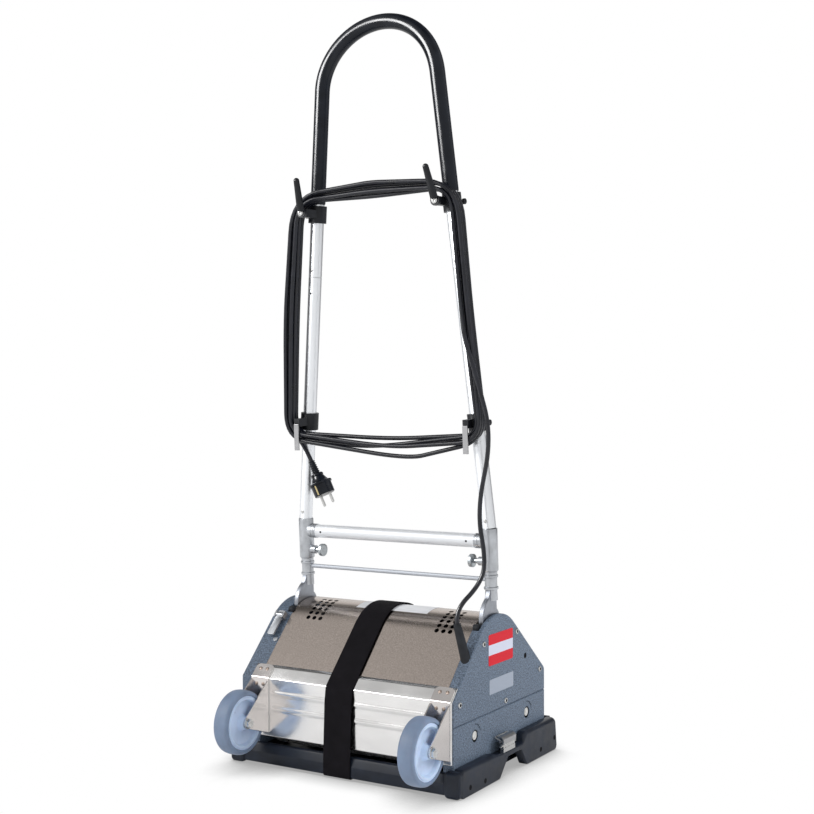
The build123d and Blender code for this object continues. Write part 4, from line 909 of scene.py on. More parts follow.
class MACHINE_OT_stage(bpy.types.Operator):
    """Set the camera of the photograph, the soft light and the pale floor"""

    bl_idname = "carpet_machine.stage"
    bl_label = "Stage"

    camera_place = (1.129, -1.8152, 0.5825)
    camera_turn = (90 - 0.289, 0.1203, 31.345)
    picture_side = 814
    focal_pixels = 1301.26
    film_width = 36
    light_target = np.array([0.0, 0.0, 0.45])
    # Name, place, size, power, whether it lights matt surfaces and whether it shows in glossy ones
    lamps = (
        ("left_box", (-1.56, -1.78, 1.75), (1.25, 1.15), 30, True, True),
        ("left_sheen", (-1.56, -1.78, 1.65), (1.25, 1.0), 124, False, True),
        ("right_strip", (1.95, 0.98, 1.6), (0.45, 1.5), 31, True, False),
    )
    # Level of the sky by height, and its factor by how far a direction faces the camera
    sky = ((0.0, 0.70), (0.55, 0.95), (0.70, 0.90), (0.735, 0.28), (0.765, 0.66), (0.79, 0.58),
           (0.87, 0.60), (0.90, 0.30), (0.94, 0.10), (1.0, 0.10))
    turn_round = ((0.0, 1.0), (0.07, 0.95), (0.12, 0.16), (0.30, 0.16), (0.36, 0.85), (1.0, 0.85))
    view_way = (0.52, -0.854, 0.0)
    floor_half = 6.0
    floor_fade = (0.6, 1.8)
    shade_reach = 0.09
    shade_levels = (0.38, 1.0)
    shade_range = (0.40, 0.87)

    def execute(self, context):
        self.set_camera(context.scene)
        self.set_light(context.scene)
        self.set_floor()
        return {"FINISHED"}

    def set_camera(self, scene):
        """Camera in the place and of the width of view that the photograph was taken with."""
        data = bpy.data.cameras.new("camera")
        data.sensor_width = self.film_width
        data.sensor_fit = "HORIZONTAL"
        data.lens = self.film_width * self.focal_pixels / self.picture_side
        camera = bpy.data.objects.new("camera", data)
        x, y, z = self.camera_place
        camera.location = (x, y + CASE_Y, z)
        camera.rotation_euler = [math.radians(turn) for turn in self.camera_turn]
        scene.collection.objects.link(camera)
        scene.camera = camera

    def set_light(self, scene):
        """Area lamps turned to the target, and the sky round them."""
        scene.view_settings.view_transform = "Standard"
        for name, place, size, power, on_matt, on_gloss in self.lamps:
            data = bpy.data.lights.new(name, "AREA")
            data.shape = "RECTANGLE"
            data.size, data.size_y = size
            data.energy = power
            lamp = bpy.data.objects.new(name, data)
            lamp.location = place
            lamp.visible_diffuse = on_matt
            lamp.visible_glossy = on_gloss
            way = unit(self.light_target - np.array(place))
            lamp.rotation_euler = (math.acos(-way[2]), 0, math.atan2(way[1], way[0]) - math.pi / 2)
            scene.collection.objects.link(lamp)
        self.set_world(scene)

    def set_world(self, scene):
        """White to the camera; to the pieces a sky that changes with height and darkens on both flanks."""
        world = bpy.data.worlds.new("studio")
        scene.world = world
        world.use_nodes = True
        sky = Wiring(world.node_tree)
        sky.tree.nodes.clear()
        direction = sky.node("ShaderNodeTexCoord").outputs["Generated"]
        height = sky.feed(sky.node("ShaderNodeSeparateXYZ"), direction).outputs["Z"]
        facing = sky.node("ShaderNodeVectorMath", operation="DOT_PRODUCT")
        sky.feed(facing, direction, self.view_way)
        round_way = sky.combine("MULTIPLY_ADD", facing.outputs["Value"], 0.5, 0.5)
        levels = [sky.ramp(value, [(place, (level, level, level)) for place, level in stops])
                  for value, stops in ((height, self.sky), (round_way, self.turn_round))]
        both = sky.feed(sky.node("ShaderNodeVectorMath", operation="MULTIPLY"), *levels)
        around = sky.feed(sky.node("ShaderNodeBackground"), Color=both.outputs["Vector"])
        seen = sky.feed(sky.node("ShaderNodeBackground"), Color=(1, 1, 1, 1))
        by_camera = sky.node("ShaderNodeLightPath").outputs["Is Camera Ray"]
        mixed = sky.mix(by_camera, around.outputs["Background"], seen.outputs["Background"])
        sky.feed(sky.node("ShaderNodeOutputWorld"), Surface=mixed)

    def set_floor(self):
        """Pale floor, white far off; to the camera it is white but for the soft shade near the machine."""
        half = self.floor_half
        grid = [[(-half, -half, 0), (half, -half, 0)], [(-half, half, 0), (half, half, 0)]]
        points, quads = surface(np.array(grid))
        mesh = bpy.data.meshes.new("floor")
        mesh.from_pydata(points, [], quads.tolist())
        floor = new_object("floor", mesh)
        finish = Finish("pale_floor", (0.93, 0.93, 0.93), 0.85, Specular_IOR_Level=0.1)
        finish.tone(finish.noise(3, detail=2), 0.995, 1.0)
        open_sky = finish.feed(finish.node("ShaderNodeAmbientOcclusion"), Distance=self.shade_reach)
        shade = finish.span(open_sky.outputs["AO"], *self.shade_levels, *self.shade_range)
        seen = finish.feed(finish.node("ShaderNodeEmission"), Strength=shade)
        start, reach = self.floor_fade
        gradient = finish.node("ShaderNodeTexGradient", gradient_type="SPHERICAL")
        finish.feed(gradient, Vector=finish.place(stretch=(1 / reach, 1 / reach, 1 / reach)))
        near = finish.span(gradient.outputs["Fac"], 0.0, 1.0, 0.0, 1 - start / reach)
        far_light = finish.node("ShaderNodeEmission")
        around = finish.mix(near, far_light.outputs["Emission"], finish.shader.outputs["BSDF"])
        by_camera = finish.node("ShaderNodeLightPath").outputs["Is Camera Ray"]
        mixed = finish.mix(by_camera, around, seen.outputs["Emission"])
        finish.feed(finish.tree.nodes["Material Output"], Surface=mixed)
        mesh.materials.append(finish.material)


class MACHINE_OT_wound_cord(bpy.types.Operator):
    """Wind the mains cord on the hooks, with its tail down to the plug"""

    bl_idname = "carpet_machine.wound_cord"
    bl_label = "Wound cord"

    def execute(self, context):
        sizes = context.scene.carpet_machine_sizes
        coil = coil_route(sizes.cord_pitch)
        route = np.vstack([coil[::-1], tail_route(coil)])
        curve = line_curve("wound_cord", route, 8)
        curve.bevel_depth = sizes.cord_diameter / 2
        curve.bevel_resolution = 4
        curve.use_fill_caps = True
        cord = new_object("wound_cord", curve)
        settle(cord, "handle", "cord", ["cord_coil", "cord_tail"])
        return {"FINISHED"}


class MACHINE_OT_free_cord(bpy.types.Operator):
    """Hang the free run of cord between the strain relief and the wound turns"""

    bl_idname = "carpet_machine.free_cord"
    bl_label = "Free cord"

    bend_from = 0.232
    bend_to = 0.37

    def execute(self, context):
        sizes = context.scene.carpet_machine_sizes
        route = run_route(coil_route(sizes.cord_pitch))
        path = spline_points(route, 10)
        tube = carried(path, ring(sizes.cord_diameter / 2, 16), ALONG_Y)
        cord = new_object("free_cord", mesh_of("free_cord", [tube]))
        cord.data.materials.append(finishes["cord"])
        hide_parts("cord_run")
        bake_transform(cord)
        return {"FINISHED"}


class MACHINE_OT_plain_nodes(bpy.types.Operator):
    """Make the finishes and give every construction piece its own"""

    bl_idname = "carpet_machine.plain_nodes"
    bl_label = "Finishes"

    def execute(self, context):
        make_finishes(context.scene.carpet_machine_colours)
        for part in frame["record"]["subparts"]:
            materials = frame["nodes"][part["node"]].data.materials
            materials.clear()
            materials.append(finishes[part["material_slot"]])
        return {"FINISHED"}


class MACHINE_OT_strap(bpy.types.Operator):
    """Stretch the webbing strap over the cover and round the tray"""

    bl_idname = "carpet_machine.strap"
    bl_label = "Strap"

    middle = -5 * MM
    clear = 0.5 * MM
    tray_front = 163 * MM
    tray_back = 170 * MM
    tray_low = 3.5 * MM
    tray_front_top = 35 * MM
    tray_back_top = 54 * MM
    rib_top = 116.5 * MM
    rib_depth = 3.5 * MM
    turn_radii = np.array((4, 60, 30, 9, 0, 13, 40, 4)) * MM
    ridge_turn = 4
    shortest_step = 0.05 * MM
    sway = 0.8 * MM
    sway_turns = 9

    def loop(self, thickness):
        """Side view of the strap's middle line: straight runs, a round top and rounded turns."""
        out = self.clear + thickness / 2
        lift = SHEET + out
        fold = SHOULDER + lift * (math.cos(FRONT_SLOPE) + FRONT_RISE * (math.sin(FRONT_SLOPE) - 1))
        corners_yz = (
            (-self.tray_front - out, self.tray_low - out),
            (-self.tray_front - out, self.tray_front_top),
            (-HALF_DEPTH - lift - self.rib_depth, self.rib_top),
            (-HALF_DEPTH - lift, fold),
            (RIDGE_Y, RIDGE_Z + lift / math.sin(RIDGE_HALF)),
            (HALF_DEPTH + lift, SHOULDER + lift / 2),
            (self.tray_back + out, self.tray_back_top),
            (self.tray_back + out, self.tray_low - out),
        )
        radii = self.turn_radii.copy()
        radii[self.ridge_turn] = ROLL_RADIUS + lift
        bends = rounded(corners_yz, radii, 16)
        onward = np.roll(bends, -1, axis=0)
        share = np.linspace(0, 1, 5)[:-1]
        return (bends[:, None] + share[None, :, None] * (onward - bends)[:, None]).reshape(-1, 2)

    def execute(self, context):
        sizes = context.scene.carpet_machine_sizes
        thickness = sizes.strap_thickness
        loop = self.loop(thickness)
        loop = loop[np.diff(lengths_gone(loop, True)) > self.shortest_step]
        gone = lengths_gone(loop, True)
        x = self.middle + self.sway * np.sin(self.sway_turns * gone[:-1])
        path = np.column_stack([x, CASE_Y + loop[:, 0], loop[:, 1]])
        half_width = sizes.strap_width / 2
        half = thickness / 2
        across_place = np.linspace(-1, 1, 13) * (half_width - half)
        edge = np.linspace(-np.pi / 2, np.pi / 2, 5)[1:-1]
        outline = np.vstack([
            np.column_stack([across_place, np.full(13, -half)]),
            np.column_stack([half_width - half + half * np.cos(edge), half * np.sin(edge)]),
            np.column_stack([across_place[::-1], np.full(13, half)]),
            np.column_stack([-half_width + half - half * np.cos(edge), -half * np.sin(edge)]),
        ])
        mesh = mesh_of("strap_webbing", [carried(path, outline, ALONG_X, closed=True)])
        self.unroll(mesh, gone, outline)
        strap = settle(new_object("strap_webbing", mesh), "base", "webbing", ["strap"])
        return {"FINISHED"}

    def unroll(self, mesh, gone, outline):
        """Flat map of the webbing: length along it and place across it, in metres."""
        corner_vertex = np.empty(len(mesh.loops), int)
        mesh.loops.foreach_get("vertex_index", corner_vertex)
        rows, columns = np.divmod(corner_vertex, len(outline))
        rows = rows.reshape(-1, 4)
        wraps = rows.max(axis=1) - rows.min(axis=1) > 1
        rows[wraps] = np.where(rows[wraps] == 0, len(gone) - 1, rows[wraps])
        flat = np.column_stack([gone[rows.ravel()], outline[columns, 0]])
        layer = mesh.uv_layers.new(name="flat")
        layer.data.foreach_set("uv", flat.ravel())


class MACHINE_OT_apron(bpy.types.Operator):
    """Press the bright apron with its two ribs"""

    bl_idname = "carpet_machine.apron"
    bl_label = "Apron"

    half_width = 185 * MM
    flange = 25 * MM
    bottom = 47 * MM
    rib_heights = (115.5 * MM, 91 * MM)
    rib_depth = 1.35 * MM
    rib_half_height = 6 * MM
    rib_half_length = 147 * MM
    rib_run_out = 9 * MM
    fold_radius = 1.4 * MM
    dent = 0.35 * MM
    dent_waves = (47, 61)
    dent_shift = 1.3
    below_fold = 1 * MM

    def execute(self, context):
        """The front is the plain sheet pushed out by a squared cosine at each rib, with faint dents."""
        x = np.linspace(-self.half_width, self.half_width, 181)
        head = folded(np.linspace(self.flange, 0, 5)[:-1], SHEET / 2, self.fold_radius)
        height = np.linspace(head[-1, 2] - self.below_fold, self.bottom, 120)
        wave = np.zeros_like(height)
        for place in self.rib_heights:
            off = np.clip((height - place) / self.rib_half_height, -1, 1)
            wave += self.rib_depth * np.cos(off * np.pi / 2) ** 2
        inside = np.clip((self.rib_half_length - np.abs(x)) / self.rib_run_out, 0, 1)
        fade = inside ** 2 * (3 - 2 * inside)
        wave_x = np.sin(self.dent_waves[0] * x + self.dent_shift)
        hollow = 0.5 + 0.5 * wave_x[None, :] * np.sin(self.dent_waves[1] * height)[:, None]
        push = fade[None, :] * (wave[:, None] - self.dent * hollow)
        front_y = -HALF_DEPTH - SHEET / 2 - push
        rows = len(head) + len(height)
        grid = np.empty((rows, len(x), 3))
        grid[:, :, 0] = MIDDLE_X + x
        grid[:len(head), :, 1:] = head[:, None, 1:]
        grid[len(head):, :, 1] = CASE_Y + front_y
        grid[len(head):, :, 2] = height[:, None]
        apron = piece("apron_sheet", [surface(grid)], "base", "bright_sheet", ["apron"],
                      60)
        thicken(apron, SHEET, "cut_edge")
        return {"FINISHED"}


class MACHINE_OT_wheels(bpy.types.Operator):
    """Turn the two transport wheels and their tyres"""

    bl_idname = "carpet_machine.wheels"
    bl_label = "Wheels"

    radius = 50 * MM
    half_width = 13.5 * MM
    tyre = 8.5 * MM
    shoulder = 5.2 * MM
    crown_rise = 0.7 * MM
    # Place from the middle and drop from the full radius along the tread
    crown = ((5 * MM, 0.12 * MM), (0, 0))
    # Inset from the side and rise from the seat at the tyre's foot
    foot = ((1.5 * MM, 0.05 * MM), (0, 1.2 * MM))
    hub_half = 14.4 * MM
    bore = 4.1 * MM
    lip_inset = 0.6 * MM

    def rim_profile(self):
        """Half of the wheel from bore to rim seat: hub, dished web, stepped lip."""
        rim = self.radius - self.tyre
        lip = self.half_width - self.lip_inset
        rows = (
            (self.hub_half, self.bore), (self.hub_half, 8.6 * MM), (self.hub_half - 0.7 * MM, 9.5 * MM),
            (7.0 * MM, 11.6 * MM), (5.2 * MM, 13.2 * MM), (4.4 * MM, 16.0 * MM), (4.2 * MM, 26.0 * MM),
            (4.9 * MM, 30.5 * MM), (6.6 * MM, 33.4 * MM), (lip - 1.6 * MM, 35.2 * MM),
            (lip - 0.5 * MM, 35.9 * MM), (lip, 36.8 * MM), (lip, 39.0 * MM), (lip - 0.9 * MM, 39.6 * MM),
            (lip - 0.9 * MM, rim),
        )
        return np.array(rows)

    def tyre_profile(self):
        """Half of the tyre from its seat over the shoulder to the crowned tread."""
        seat = self.radius - self.tyre
        angle = np.linspace(0, math.pi / 2, 9)
        shoulder = self.shoulder
        side = np.column_stack([
            self.half_width - shoulder + shoulder * np.cos(angle),
            self.radius - self.crown_rise - shoulder + shoulder * np.sin(angle),
        ])
        crown = [(place, self.radius - drop) for place, drop in self.crown]
        foot = [(self.half_width - inset, seat + rise) for inset, rise in self.foot]
        return np.vstack([foot, side, crown])

    def execute(self, context):
        for label in ("left", "right"):
            centre = joint_place(f"{label}_wheel_spin")
            rim = self.rim_profile()
            wheel = np.vstack([rim, (rim * (-1, 1))[::-1], rim[:1]])
            half = self.tyre_profile()
            tyre = np.vstack([half, (half * (-1, 1))[-2::-1], half[:1]])
            for part, profile, angle in (("wheel", wheel, 28), ("tyre", tyre, 40)):
                shape = turned(profile, centre, ALONG_X, 72)
                piece(f"{label}_{part}_turned", [shape], f"{label}_wheel", f"{part}_grey",
                      [f"{label}_{part}"], angle)
        return {"FINISHED"}


class MACHINE_OT_brackets(bpy.types.Operator):
    """Fold the two wheel brackets from sheet"""

    bl_idname = "carpet_machine.brackets"
    bl_label = "Wheel brackets"

    sheet = 2 * MM
    width = 34 * MM
    flange = 24 * MM
    corner = 8 * MM
    low = 53 * MM
    nose = 10 * MM
    nose_reach = 17.6 * MM
    nose_drop = 3 * MM
    cheek_drop = 1 * MM
    cheek_corner = 0.8 * MM
    fold_radius = 3 * MM
    edge = 0.4 * MM

    def execute(self, context):
        out = SHEET + self.sheet / 2
        for label in ("left", "right"):
            axle = joint_place(f"{label}_wheel_spin")
            strip = self.strip(axle[0], out)
            face_y = CASE_Y - HALF_DEPTH - SHEET - self.sheet
            cheeks = []
            for hand in (-1, 1):
                x = axle[0] + hand * (self.width / 2) - (self.sheet if hand > 0 else 0)
                triangle = ((face_y, SHOULDER - self.cheek_drop),
                            (axle[1] - self.nose_reach, axle[2] - self.nose_drop), (face_y, self.low))
                outline = rounded(triangle, (self.cheek_corner, self.nose, self.cheek_corner), 9)
                outline = np.column_stack([np.full(len(outline), x), outline])
                cheeks.append(plate(outline, self.sheet * ALONG_X))
            bracket = piece(f"{label}_bracket_cheeks", cheeks, "base", "bracket_sheet",
                            [f"{label}_bracket"])
            bevel(bracket, self.edge, 2)
            front = piece(f"{label}_bracket_front", [strip], "base", "bracket_sheet", (),
                          60)
            thicken(front, self.sheet, "cut_edge")
            bevel(front, self.edge, 2)
        return {"FINISHED"}

    def strip(self, middle, out):
        """Bent strip: a flange with rounded corners on the slope, a fold and the upright front."""
        rounding = self.corner * (1 - np.cos(np.linspace(0, math.pi / 2, 9)))
        climb = self.flange - np.append(rounding, (0.5 * self.flange, 0.8 * self.flange))
        gap = np.clip(self.corner - (self.flange - climb), 0, None)
        half = self.width / 2 - (self.corner - np.sqrt(self.corner ** 2 - gap ** 2))
        head = folded(climb, out, self.fold_radius)
        height = np.linspace(head[-1, 2], self.low, 6)[1:]
        front = np.column_stack([np.zeros(5), np.full(5, head[-1, 1]), height])
        line = np.vstack([head, front])
        half = np.concatenate([half, np.full(len(line) - len(half), self.width / 2)])
        grid = np.repeat(line[:, None], 9, axis=1)
        grid[:, :, 0] = middle + half[:, None] * np.linspace(-1, 1, 9)
        return surface(grid)


class MACHINE_OT_fasteners(bpy.types.Operator):
    """Set the rivets, bolts and screws"""

    bl_idname = "carpet_machine.fasteners"
    bl_label = "Fasteners"

    plate_screws = ((-60, 210), (52, 213), (136, 138), (-136, 132), (13, 110))
    socket_screw = (
        (-0.4, 4.6, False), (1.0, 4.6, False), (1.6, 4.3, False), (2.0, 3.6, False), (2.0, 2.9, True),
        (1.3, 2.8, True), (1.2, 0.0, False),
    )
    rivet = (
        (-0.2, 3.0, False), (0.35, 3.0, False), (0.9, 2.7, False), (1.3, 2.0, False), (1.45, 1.2, False),
        (1.2, 0.9, False), (1.15, 0.0, False),
    )
    bolt = (
        (-0.2, 8.6, False), (1.3, 8.6, False), (1.5, 8.2, False), (1.5, 7.3, True), (5.6, 7.3, True),
        (6.2, 6.3, False), (6.2, 2.2, False), (5.7, 0.0, False),
    )
    # Dark discs of painted shade in the screw sockets and over the spare hole
    socket_painted_shade = ((1.5, 2.7), (1.5, 0.0))
    spare_hole = (83, 169)
    spare_painted_shade = ((0.1, 4.6), (0.1, 0.0))
    # Dark ring of painted shade round each brush axle end, shifted off the axle so that it shows as a shadow
    # crescent
    axle_inset = 1.5 * MM
    axle_shade = (1.0 * MM, 0.5 * MM)
    axle_painted_shade = ((0.12, 10.4), (0.12, 6.7))
    # Thin dark arc of painted shade round each axle end, for the shaded edge of an embossed ring
    shade_arc_reach = np.array((17.5, 18.2)) * MM
    shade_arc_turn = np.radians(np.linspace(25, 95, 16))[:, None]
    shade_arc_lift = 0.06 * MM
    bolt_reach = 17 * MM
    rivet_spread = 6.5 * MM
    rivet_up = 15 * MM
    rivet_drop = 9 * MM
    bracket_lift = SHEET + 2 * MM

    def mouth(self, shape, place, axis, steps):
        """Dark disc or ring of painted shade, standing for the shade in a hole or round an axle end."""
        return turned(np.array(shape) * MM, place, axis, steps)

    def shade_arc(self, axle):
        """Thin dark arc of painted shade on the side plate round the end of a brush axle."""
        x = np.full((len(self.shade_arc_turn), 2), SIDE_X + self.shade_arc_lift)
        y = axle[1] + self.shade_arc_reach * np.cos(self.shade_arc_turn)
        z = axle[2] + self.shade_arc_reach * np.sin(self.shade_arc_turn)
        return surface(np.stack([x, y, z], axis=2))

    def execute(self, context):
        screws = []
        sockets = []
        for y, z in self.plate_screws:
            for hand in (-1, 1):
                centre = (hand * SIDE_X, CASE_Y + y * MM, z * MM)
                screws.append(stacked(self.socket_screw, centre, hand * ALONG_X))
                sockets.append(self.mouth(self.socket_painted_shade, centre, hand * ALONG_X, 24))
        for joint in ("front_brush_spin", "rear_brush_spin"):
            axle = joint_place(joint)
            end = (SIDE_X - self.axle_inset, axle[1] + self.axle_shade[0], axle[2] + self.axle_shade[1])
            sockets += [self.mouth(self.axle_painted_shade, end, ALONG_X, 40), self.shade_arc(axle)]
        y, z = self.spare_hole
        place = (SIDE_X, CASE_Y + y * MM, z * MM)
        sockets.append(self.mouth(self.spare_painted_shade, place, ALONG_X, 32))
        piece("case_screw_heads", screws, "base", "zinc", ["case_screws"], 30)
        # Painted shade: the dark discs, rings and arcs gathered above
        piece("case_dark_mouths", sockets, "base", "hollow", ())
        rivets = []
        bolts = []
        for label in ("left", "right"):
            axle = joint_place(f"{label}_wheel_spin")
            for hand in (-1, 1):
                x = axle[0] + hand * self.rivet_spread
                flange = on_slope(x, self.rivet_up, self.bracket_lift)
                rivets.append(stacked(self.rivet, flange, SLOPE_OUT, 24))
                face = (x, CASE_Y - HALF_DEPTH - self.bracket_lift, SHOULDER - self.rivet_drop)
                rivets.append(stacked(self.rivet, face, -ALONG_Y, 24))
                bolts.append(stacked(self.bolt, axle + hand * self.bolt_reach * ALONG_X, hand * ALONG_X))
        piece("bracket_rivet_heads", rivets, "base", "rivet", ["bracket_rivets"], 40)
        piece("wheel_bolt_heads", bolts, "base", "zinc", ["wheel_bolts"], 30)
        return {"FINISHED"}


class MACHINE_OT_relief(bpy.types.Operator):
    """Mould the rubber boot where the cord leaves the case"""

    bl_idname = "carpet_machine.relief"
    bl_label = "Strain relief"

    overrun = 7 * MM
    buried = 9 * MM
    mouth = 4.1 * MM
    foot_radius = 8.2 * MM
    taper = 3.0 * MM
    taper_power = 0.8
    lip = np.array((0.2, 0.5, 0.5, 0.2)) * MM
    lip_turn = np.array((0.0, 0.9, 2.0))[:, None]

    def execute(self, context):
        """The boot thins toward the cord, follows its first bend and turns in at its mouth."""
        route = run_route(coil_route(context.scene.carpet_machine_sizes.cord_pitch))
        run = spline_points(route, 10)
        gone = lengths_gone(run)
        over = np.linspace(0, self.overrun, 12)[1:]
        beyond = np.column_stack([np.interp(over, gone, run[:, axis]) for axis in range(3)])
        base = relief_foot() + np.linspace(-self.buried, RELIEF_LENGTH, 16)[:, None] * RELIEF_AXIS
        path = np.vstack([base, beyond])
        share = np.linspace(0, 1, len(path))
        radius = self.foot_radius - self.taper * share ** self.taper_power
        radius[-len(self.lip):] += self.lip
        turned_in = path[-1] - (path[-1] - path[-2]) * self.lip_turn
        outer = carried(path, ring(1.0, 24), ALONG_Y, radius)
        mouth_radius = np.array((radius[-1], self.mouth, self.mouth))
        mouth = carried(turned_in, ring(1.0, 24), ALONG_Y, mouth_radius)
        piece("strain_relief_boot", [outer, mouth], "base", "black_rubber", ["strain_relief"],
              50)
        return {"FINISHED"}


class MACHINE_OT_grip(bpy.types.Operator):
    """Pull the glossy sleeve over the bow"""

    bl_idname = "carpet_machine.grip"
    bl_label = "Grip"

    radius = 12.3 * MM
    end_growth = (0.93, 0.985)

    def execute(self, context):
        """A round sleeve along the bow, a little thinner at its two ends."""
        path = bow_path(GRIP_LOW)
        growth = np.ones(len(path))
        growth[:2] = self.end_growth
        growth[-2:] = self.end_growth[::-1]
        sleeve = carried(path, ring(self.radius, 56), LEG_FORE, growth)
        piece("grip_sleeve", [sleeve], "handle", "glossy_black", ["grip"], 60)
        return {"FINISHED"}


class MACHINE_OT_top_label(bpy.types.Operator):
    """Lay the bare white label over the roll under the strap"""

    bl_idname = "carpet_machine.top_label"
    bl_label = "Top label"

    side = (-50 * MM, 84 * MM)
    turn = (math.radians(19.8), math.radians(-16))
    lift = 0.12 * MM
    film = 0.16 * MM

    def execute(self, context):
        """The film is a stretch of the roll, lifted off it by its own play."""
        x = np.linspace(*self.side, 3)
        turn = np.linspace(*self.turn, 24)
        grid = np.empty((24, 3, 3))
        grid[..., 0] = x
        grid[..., 1] = (ROLL_Y - (ROLL_RADIUS + self.lift) * np.sin(turn))[:, None]
        grid[..., 2] = (ROLL_Z + (ROLL_RADIUS + self.lift) * np.cos(turn))[:, None]
        label = piece("top_label", [surface(grid)], "base", "white_film", (), 60)
        thicken(label, self.film)
        return {"FINISHED"}


class MACHINE_OT_plug(bpy.types.Operator):
    """Mould the plug with its ribbed sleeve, flange, insert and earth strips, and its pins"""

    bl_idname = "carpet_machine.plug"
    bl_label = "Plug"

    # Lengths along the axis and profile rows are in mm
    sleeve = 22
    body = 16
    flange = 4
    insert = 18
    ribs = 6
    rib_shift = 0.3
    sleeve_mouth = 3.9
    sleeve_radius = (4.9, 6.2)
    rib_height = 0.5
    pin_sink = 1
    strip_gap = (0.5, 1.5)
    pin = ((0, 2.4), (17.1, 2.4), (18.43, 1.9), (19, 0.9), (19, 0))
    pin_spread = 19 * MM
    strip_half = 1.4 * MM
    strip_reach = 17.3 * MM
    strip_thickness = 0.6 * MM

    def execute(self, context):
        start = plug_point(0)
        axis = unit(plug_point(1) - start)
        side_way = unit(plug_point(0, 1) - start)
        share = np.linspace(0, 1, 6 * self.ribs + 1)
        swell = np.sign(np.sin(share * self.ribs * 2 * np.pi + self.rib_shift))
        low, high = self.sleeve_radius
        ribbed = np.column_stack([share * self.sleeve, low + (high - low) * share + self.rib_height * swell])
        sleeve = self.sleeve
        rim = sleeve + self.body
        seat = rim + self.flange
        face = seat + self.insert
        body = (
            (sleeve, 8.5), (sleeve + 1, 10.2), (sleeve + 4, 10.8), (sleeve + 5, 9.8), (sleeve + 9, 11.6),
            (rim - 2, 14.4), (rim - 0.5, 16.5), (rim, 18.8), (rim + 0.6, 19.5), (seat - 0.6, 19.5),
            (seat, 18.9), (seat + 0.3, 17.6), (face - 1, 17.4), (face, 16.4), (face, 0.0),
        )
        profile = np.vstack([[(0.0, self.sleeve_mouth)], ribbed, body]) * MM
        piece("plug_body", [turned(profile, start, axis, 40)], "handle", "glossy_black", ["plug"],
              32)
        across_way = np.cross(axis, side_way)
        half = self.strip_half * side_way
        pins = []
        strips = []
        for hand in (-1, 1):
            foot = start + axis * (face - self.pin_sink) * MM + hand * self.pin_spread / 2 * side_way
            pins.append(turned(np.array(self.pin) * MM, foot, axis, 20))
            out = hand * self.strip_reach * across_way
            middle = start + axis * (seat + self.strip_gap[0]) * MM + out
            end = start + axis * (face - self.strip_gap[1]) * MM + out
            outline = np.array([middle - half, middle + half, end + half, end - half])
            strips.append(plate(outline, hand * self.strip_thickness * across_way))
        piece("plug_pin_pair", pins, "handle", "zinc", ["plug_pins"], 30)
        piece("plug_earth_strips", strips, "handle", "brass", ())
        return {"FINISHED"}


class MACHINE_OT_frame_tubes(bpy.types.Operator):
    """Draw the handle's tubes, crossbar and tie rod"""

    bl_idname = "carpet_machine.frame_tubes"
    bl_label = "Handle tubes"

    bore = 10 * MM
    chamfer = 0.4 * MM
    dome = np.array(((0, 1.0), (0.9, 1.0), (1.3, 0.85), (1.6, 0.5), (1.7, 0)))
    dome_sink = 0.6 * MM
    seam_up = 548 * MM
    seam_gap = 0.3 * MM
    socket_gap = 0.2 * MM
    # Height and radius of the snap buttons and of the socket screws
    pins = ((559 * MM, 2.6 * MM), (155 * MM, 3.0 * MM))
    hole_up = 521 * MM
    # Height, half length, radius, finish and slot of the rods across the handle
    rods = {
        "crossbar": (CROSSBAR_UP, 152 * MM, 10.9 * MM, "crossbar", "anodised"),
        "tie_rod": (62 * MM, 168 * MM, 3.5 * MM, "rod_zinc", "zinc"),
    }
    crossbar_hole_inset = 13 * MM
    hole_radius = 1.7 * MM

    def execute(self, context):
        low = SOCKET_TOP + self.socket_gap
        high = self.seam_up - self.seam_gap
        bar_up, bar_half, bar_radius, _, _ = self.rods["crossbar"]
        pins = []
        holes = []
        for label, hand in SIDES:
            start = on_handle(hand * leg_x(low), low)
            end = on_handle(hand * leg_x(high), high)
            length = np.linalg.norm(end - start)
            tube = ((0, self.bore), (0, TUBE_RADIUS), (length - self.chamfer, TUBE_RADIUS),
                    (length, TUBE_RADIUS - self.chamfer), (length, self.bore))
            piece(f"{label}_tube_drawn", [turned(tube, start, end - start, 48)], "handle", "anodised",
                  [f"{label}_tube"], 30)
            for up, radius in self.pins:
                face = on_handle(hand * leg_x(up), up, TUBE_RADIUS - self.dome_sink)
                pins.append(turned(self.dome * (1 * MM, radius), face, LEG_FORE, 24))
            # Painted shade: dark discs for the holes in the tubes and in the crossbar
            holes.append(self.hole(on_handle(hand * leg_x(self.hole_up), self.hole_up, TUBE_RADIUS)))
            side = hand * (bar_half - self.crossbar_hole_inset)
            holes.append(self.hole(on_handle(side, bar_up, bar_radius)))
        piece("tube_pin_heads", pins, "handle", "zinc", ["tube_pins"], 40)
        piece("tube_holes", holes, "handle", "hollow", (), 40)
        bow = carried(bow_path(self.seam_up), ring(TUBE_RADIUS, 48), LEG_FORE)
        piece("bow_drawn", [bow], "handle", "anodised", ["bow"], 60)
        for node, (up, half, radius, finish, slot) in self.rods.items():
            rod = np.array(((0, 0.9), (0, 1), (2 * half, 1), (2 * half, 0.9))) * (1, radius)
            drawn = turned(rod, on_handle(-half, up), ALONG_X, 48)
            piece(f"{node}_drawn", [drawn], "handle", finish, [node], 30)
        return {"FINISHED"}

    def hole(self, place):
        """Dark disc of painted shade in the mouth of a drilled hole."""
        disc = np.array(((-1, 1), (0.06, 1), (0.06, 0))) * (1 * MM, self.hole_radius)
        return turned(disc, place, LEG_FORE, 20)


